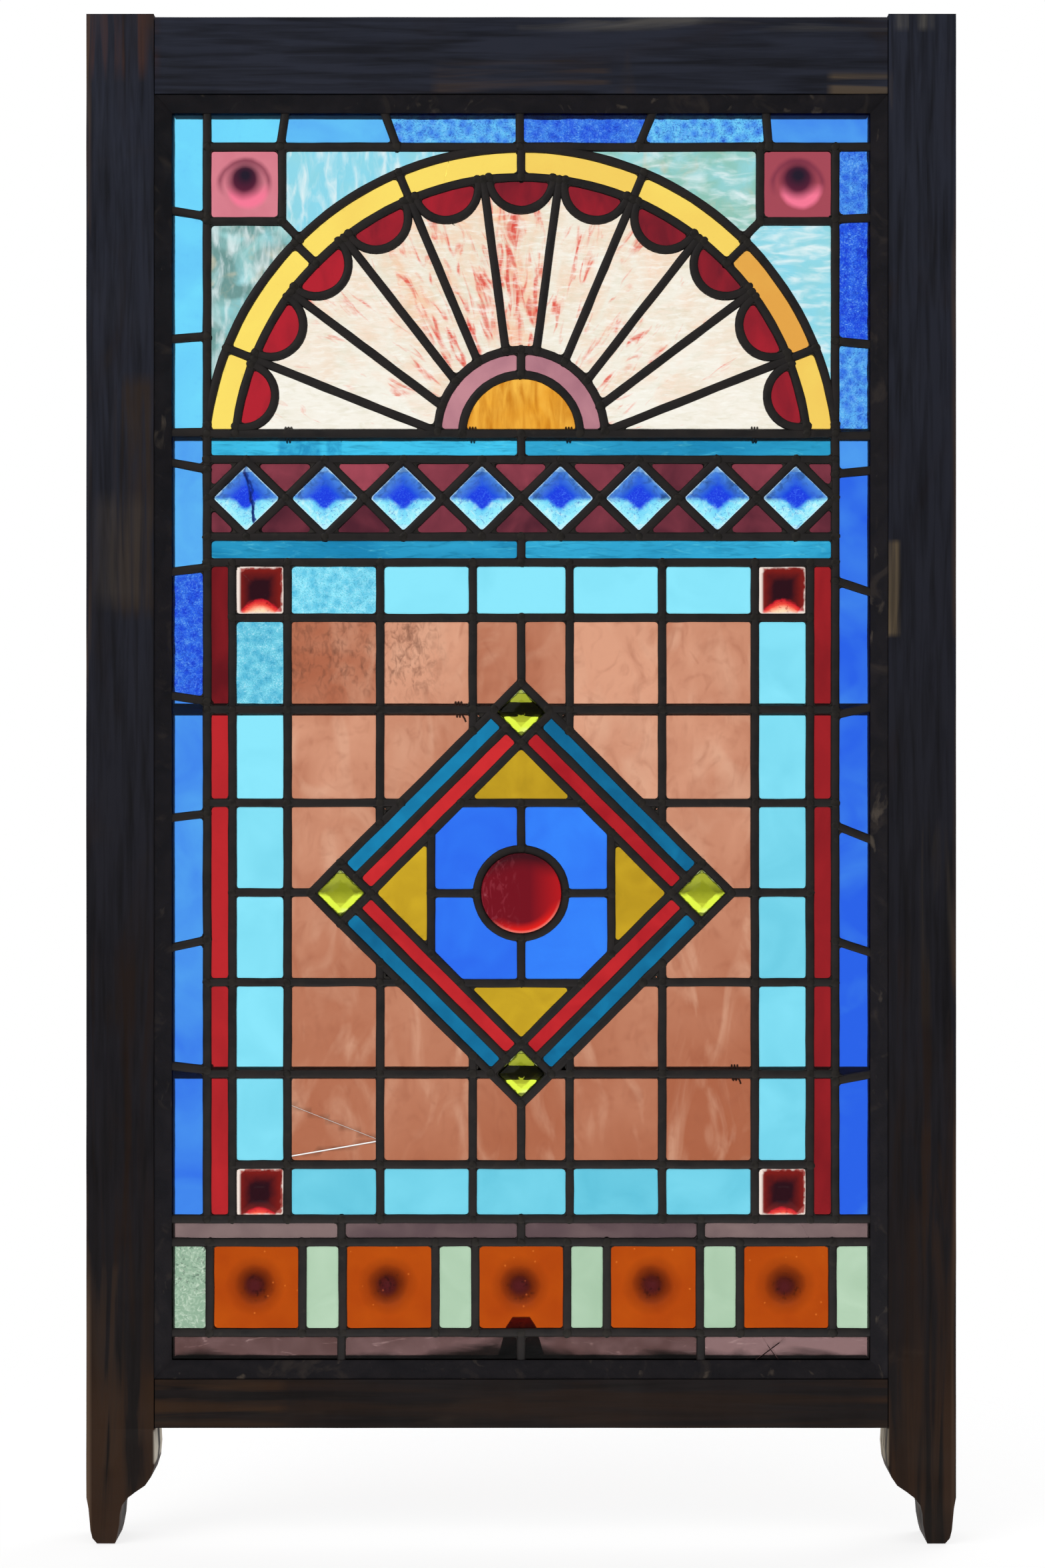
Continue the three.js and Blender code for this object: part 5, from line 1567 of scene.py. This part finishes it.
def dress_foot():
    """The two lilac rows and the pale green strips."""
    columns = [-EDGE["x"], -LILAC_SPLIT, 0, LILAC_SPLIT, EDGE["x"]]
    glass_sheet("panes_lilac_upper", row_of(columns, Z_LILAC, Z_FIELD_BOTTOM), stained(
        "lilac_upper", "85706f", "5f4c50", 30, vary=0.4), (0.4, 14, 8),
        "glass_row_lilac_upper", [0, 0.8, 0.9, 0.25], cracks=UPPER_LILAC_CRACKS)
    glass_sheet("panes_lilac_lower", row_of(columns, EDGE["bottom"], Z_ORANGE), stained(
        "lilac_lower", "8c6e6e", "5c4240", 24, vary=0.35, extra=sill_dirt),
        (0.4, 14, 8), "glass_row_lilac_lower", [0.85, 0.7, 0.9, 0], cracks=LOWER_LILAC_CRACKS)
    ends = [-EDGE["x"]] + both_ways(ORANGE_COLUMNS) + [EDGE["x"]]
    cells = [rectangle(a, Z_ORANGE, b, Z_LILAC) for a, b in zip(ends[::2], ends[1::2])]
    glass_sheet("panes_pale_green", cells, stained(
        "pale_green", "bbd8bc", "a4c4a6", 40, vary=0.4, extra=end_pane_crackle),
        (0.4, 16, 20), "glass_row_pale_green", [1, 0.3, 0.35, 0.4, 0.5, 0.3])


def dress_jewels():
    chance = random.Random("jewels")
    blue, ruby, green = blue_jewel(), ruby_jewel(), green_jewel()
    edge = CAME_HALF - 0.7  # how much of a jewel the lead holds, on each side
    reach = (Z_STRIP_A - Z_STRIP_B) / 2 / math.sqrt(2) - edge
    for i in range(BAND_JEWELS):
        x = -X_BORDER + (i + 0.5) * JEWEL_PITCH
        set_jewel(f"blue_{i + 1}", (x, Z_BAND), reach, math.pi / 4, chance, blue,
                  tone=float(i == 0))
    x = (X_RUBY + COLUMNS[2]) / 2
    reach = (X_RUBY - COLUMNS[2]) / 2 - edge
    rows = ((Z_FIELD_TOP + ROWS[0]) / 2, (Z_FIELD_BOTTOM + ROWS[-1]) / 2)
    for i, (z, side) in enumerate(itertools.product(rows, (-1, 1)), 1):
        # A tone of 1 shrinks the painted glow on the lower pair of rubies
        set_jewel(f"ruby_{i}", (side * x, z), reach, 0, chance, ruby,
                  tone=float(z == rows[1]))
    reach = (DIAMOND["outer"] - DIAMOND["inner"]) / 2 - edge
    out = DIAMOND["middle"] * math.sqrt(2)
    for i, (dx, dz) in enumerate(((0, out), (out, 0), (0, -out), (-out, 0)), 1):
        set_jewel(f"green_{i}", (dx, DIAMOND["z"] + dz), reach, math.pi / 4, chance, green)


def set_jewel(word, at, reach, turned, chance, finish, tone=0.0):
    bm, rings = jewel(*at, reach, turned, chance)
    finish_piece(f"cut_jewel_{word}", bm, finish, [f"jewel_{word}"], 22,
                 {"ring": rings, "tone": [tone] * len(rings)})


def dress_rondels():
    pink, orange = pink_rondel(), orange_rondel()
    x, z = RONDEL_CELL
    for word, side in (("left", -1), ("right", 1)):
        inner, outer = sorted((side * x, side * X_BORDER))
        bm, edge = pressed_square(inner, z, outer, Z_BORDER, 2.6, 1.5)
        finish_piece(f"pressed_pink_{word}", bm, pink, [f"rondel_pink_{word}"],
                     points={"edge": edge, "tone": [max(0, side)] * len(edge)})
    edges = both_ways(ORANGE_COLUMNS)
    for i, (x0, x1) in enumerate(zip(edges[::2], edges[1::2]), 1):
        bm, edge = pressed_square(x0, Z_ORANGE, x1, Z_LILAC, 1.8, 1.4)
        finish_piece(f"pressed_orange_{i}", bm, orange, [f"rondel_orange_{i}"],
                     points={"edge": edge})
    bm, rings = turned_roundel()
    finish_piece("dished_roundel", bm, roundel_glass(), ["roundel_ruby"], 50,
                 {"ring": rings})


# ---- Camera, light and floor -----------------------------------------------------------------

VIEW = {"distance": 2.0, "height": 0.5586, "x": 0.001, "field": 1.1525}
FLOOR_GREY = (0.75, 0.75, 0.75, 1)


def set_camera():
    data = bpy.data.cameras.new("portrait")
    data.sensor_width = 36
    data.lens = data.sensor_width * VIEW["distance"] / VIEW["field"]
    camera = bpy.data.objects.new("portrait", data)
    camera.location = (VIEW["x"], CAD_LOW.y - VIEW["distance"], CAD_LOW.z + VIEW["height"])
    camera.rotation_euler = (math.pi / 2, 0, 0)
    scene.collection.objects.link(camera)
    scene.camera = camera


def set_light():
    """White all round for what is seen, and softer for what only lights and glints."""
    scene.view_settings.view_transform = "Standard"
    world = bpy.data.worlds.new("daylight")
    world.use_nodes = True
    scene.world = world
    tree = world.node_tree
    path, seen, strength = (tree.nodes.new("ShaderNode" + kind)
                            for kind in ("LightPath", "Math", "MapRange"))
    glow = tree.nodes["Background"]
    glow.inputs["Color"].default_value = (1, 1, 1, 1)
    seen.operation = "MAXIMUM"
    strength.inputs["To Min"].default_value = 0.3
    strength.inputs["To Max"].default_value = 1.0
    for source, socket in ((path.outputs["Is Camera Ray"], seen.inputs[0]),
                           (path.outputs["Is Transmission Ray"], seen.inputs[1]),
                           (seen.outputs[0], strength.inputs["Value"]),
                           (strength.outputs[0], glow.inputs["Strength"])):
        tree.links.new(source, socket)
    for name, place, power, size in (
            ("window_light", (-1.6, -1.4, 0.9), 9, 1.6), ("rim_light", (1.5, 1.2, 0.6), 6, 1.4)):
        data = bpy.data.lights.new(name, "AREA")
        data.energy, data.size = power, size
        lamp = bpy.data.objects.new(name, data)
        lamp.location = place
        aim = Vector((0, 0, -0.5)) - Vector(place)
        lamp.rotation_euler = aim.to_track_quat("-Z", "Y").to_euler()
        scene.collection.objects.link(lamp)


def lay_floor():
    """A pale floor under the horns that fades into the white."""
    bm = bmesh.new()
    bmesh.ops.create_circle(bm, cap_ends=True, segments=64, radius=1.6)
    bmesh.ops.translate(bm, vec=(0, 0, CAD_LOW.z - 0.0005), verts=bm.verts)
    mesh = bpy.data.meshes.new("pale_floor")
    bm.to_mesh(mesh)
    bm.free()
    made = Finish("pale_floor", Roughness=0.9, Base_Color=FLOOR_GREY, Specular_IOR_Level=0.0)
    x, y, _ = made.split(made.place)
    far = made.calc("SQRT", made.sum(made.times(x, x), made.times(y, y)))
    glow = made.put("Emission", {"Color": (1, 1, 1, 1), "Strength": 0.72})
    both = made.put("AddShader", {0: made.shader.outputs[0], 1: glow.outputs[0]})
    clear = made.put("BsdfTransparent", {})
    fade = made.put("MixShader", {
        0: made.between(far, 0.25, 0.75), 1: both.outputs[0], 2: clear.outputs[0]})
    made.feed(made.tree.nodes["Material Output"].inputs["Surface"], fade.outputs[0])
    mesh.materials.append(made.material)
    floor = bpy.data.objects.new("pale_floor", mesh)
    scene.collection.objects.link(floor)


set_camera()
set_light()
lay_floor()
dress_timber()
dress_leads()
dress_iron()
dress_border()
dress_head()
dress_band()
dress_field()
dress_diamond()
dress_foot()
dress_jewels()
dress_rondels()
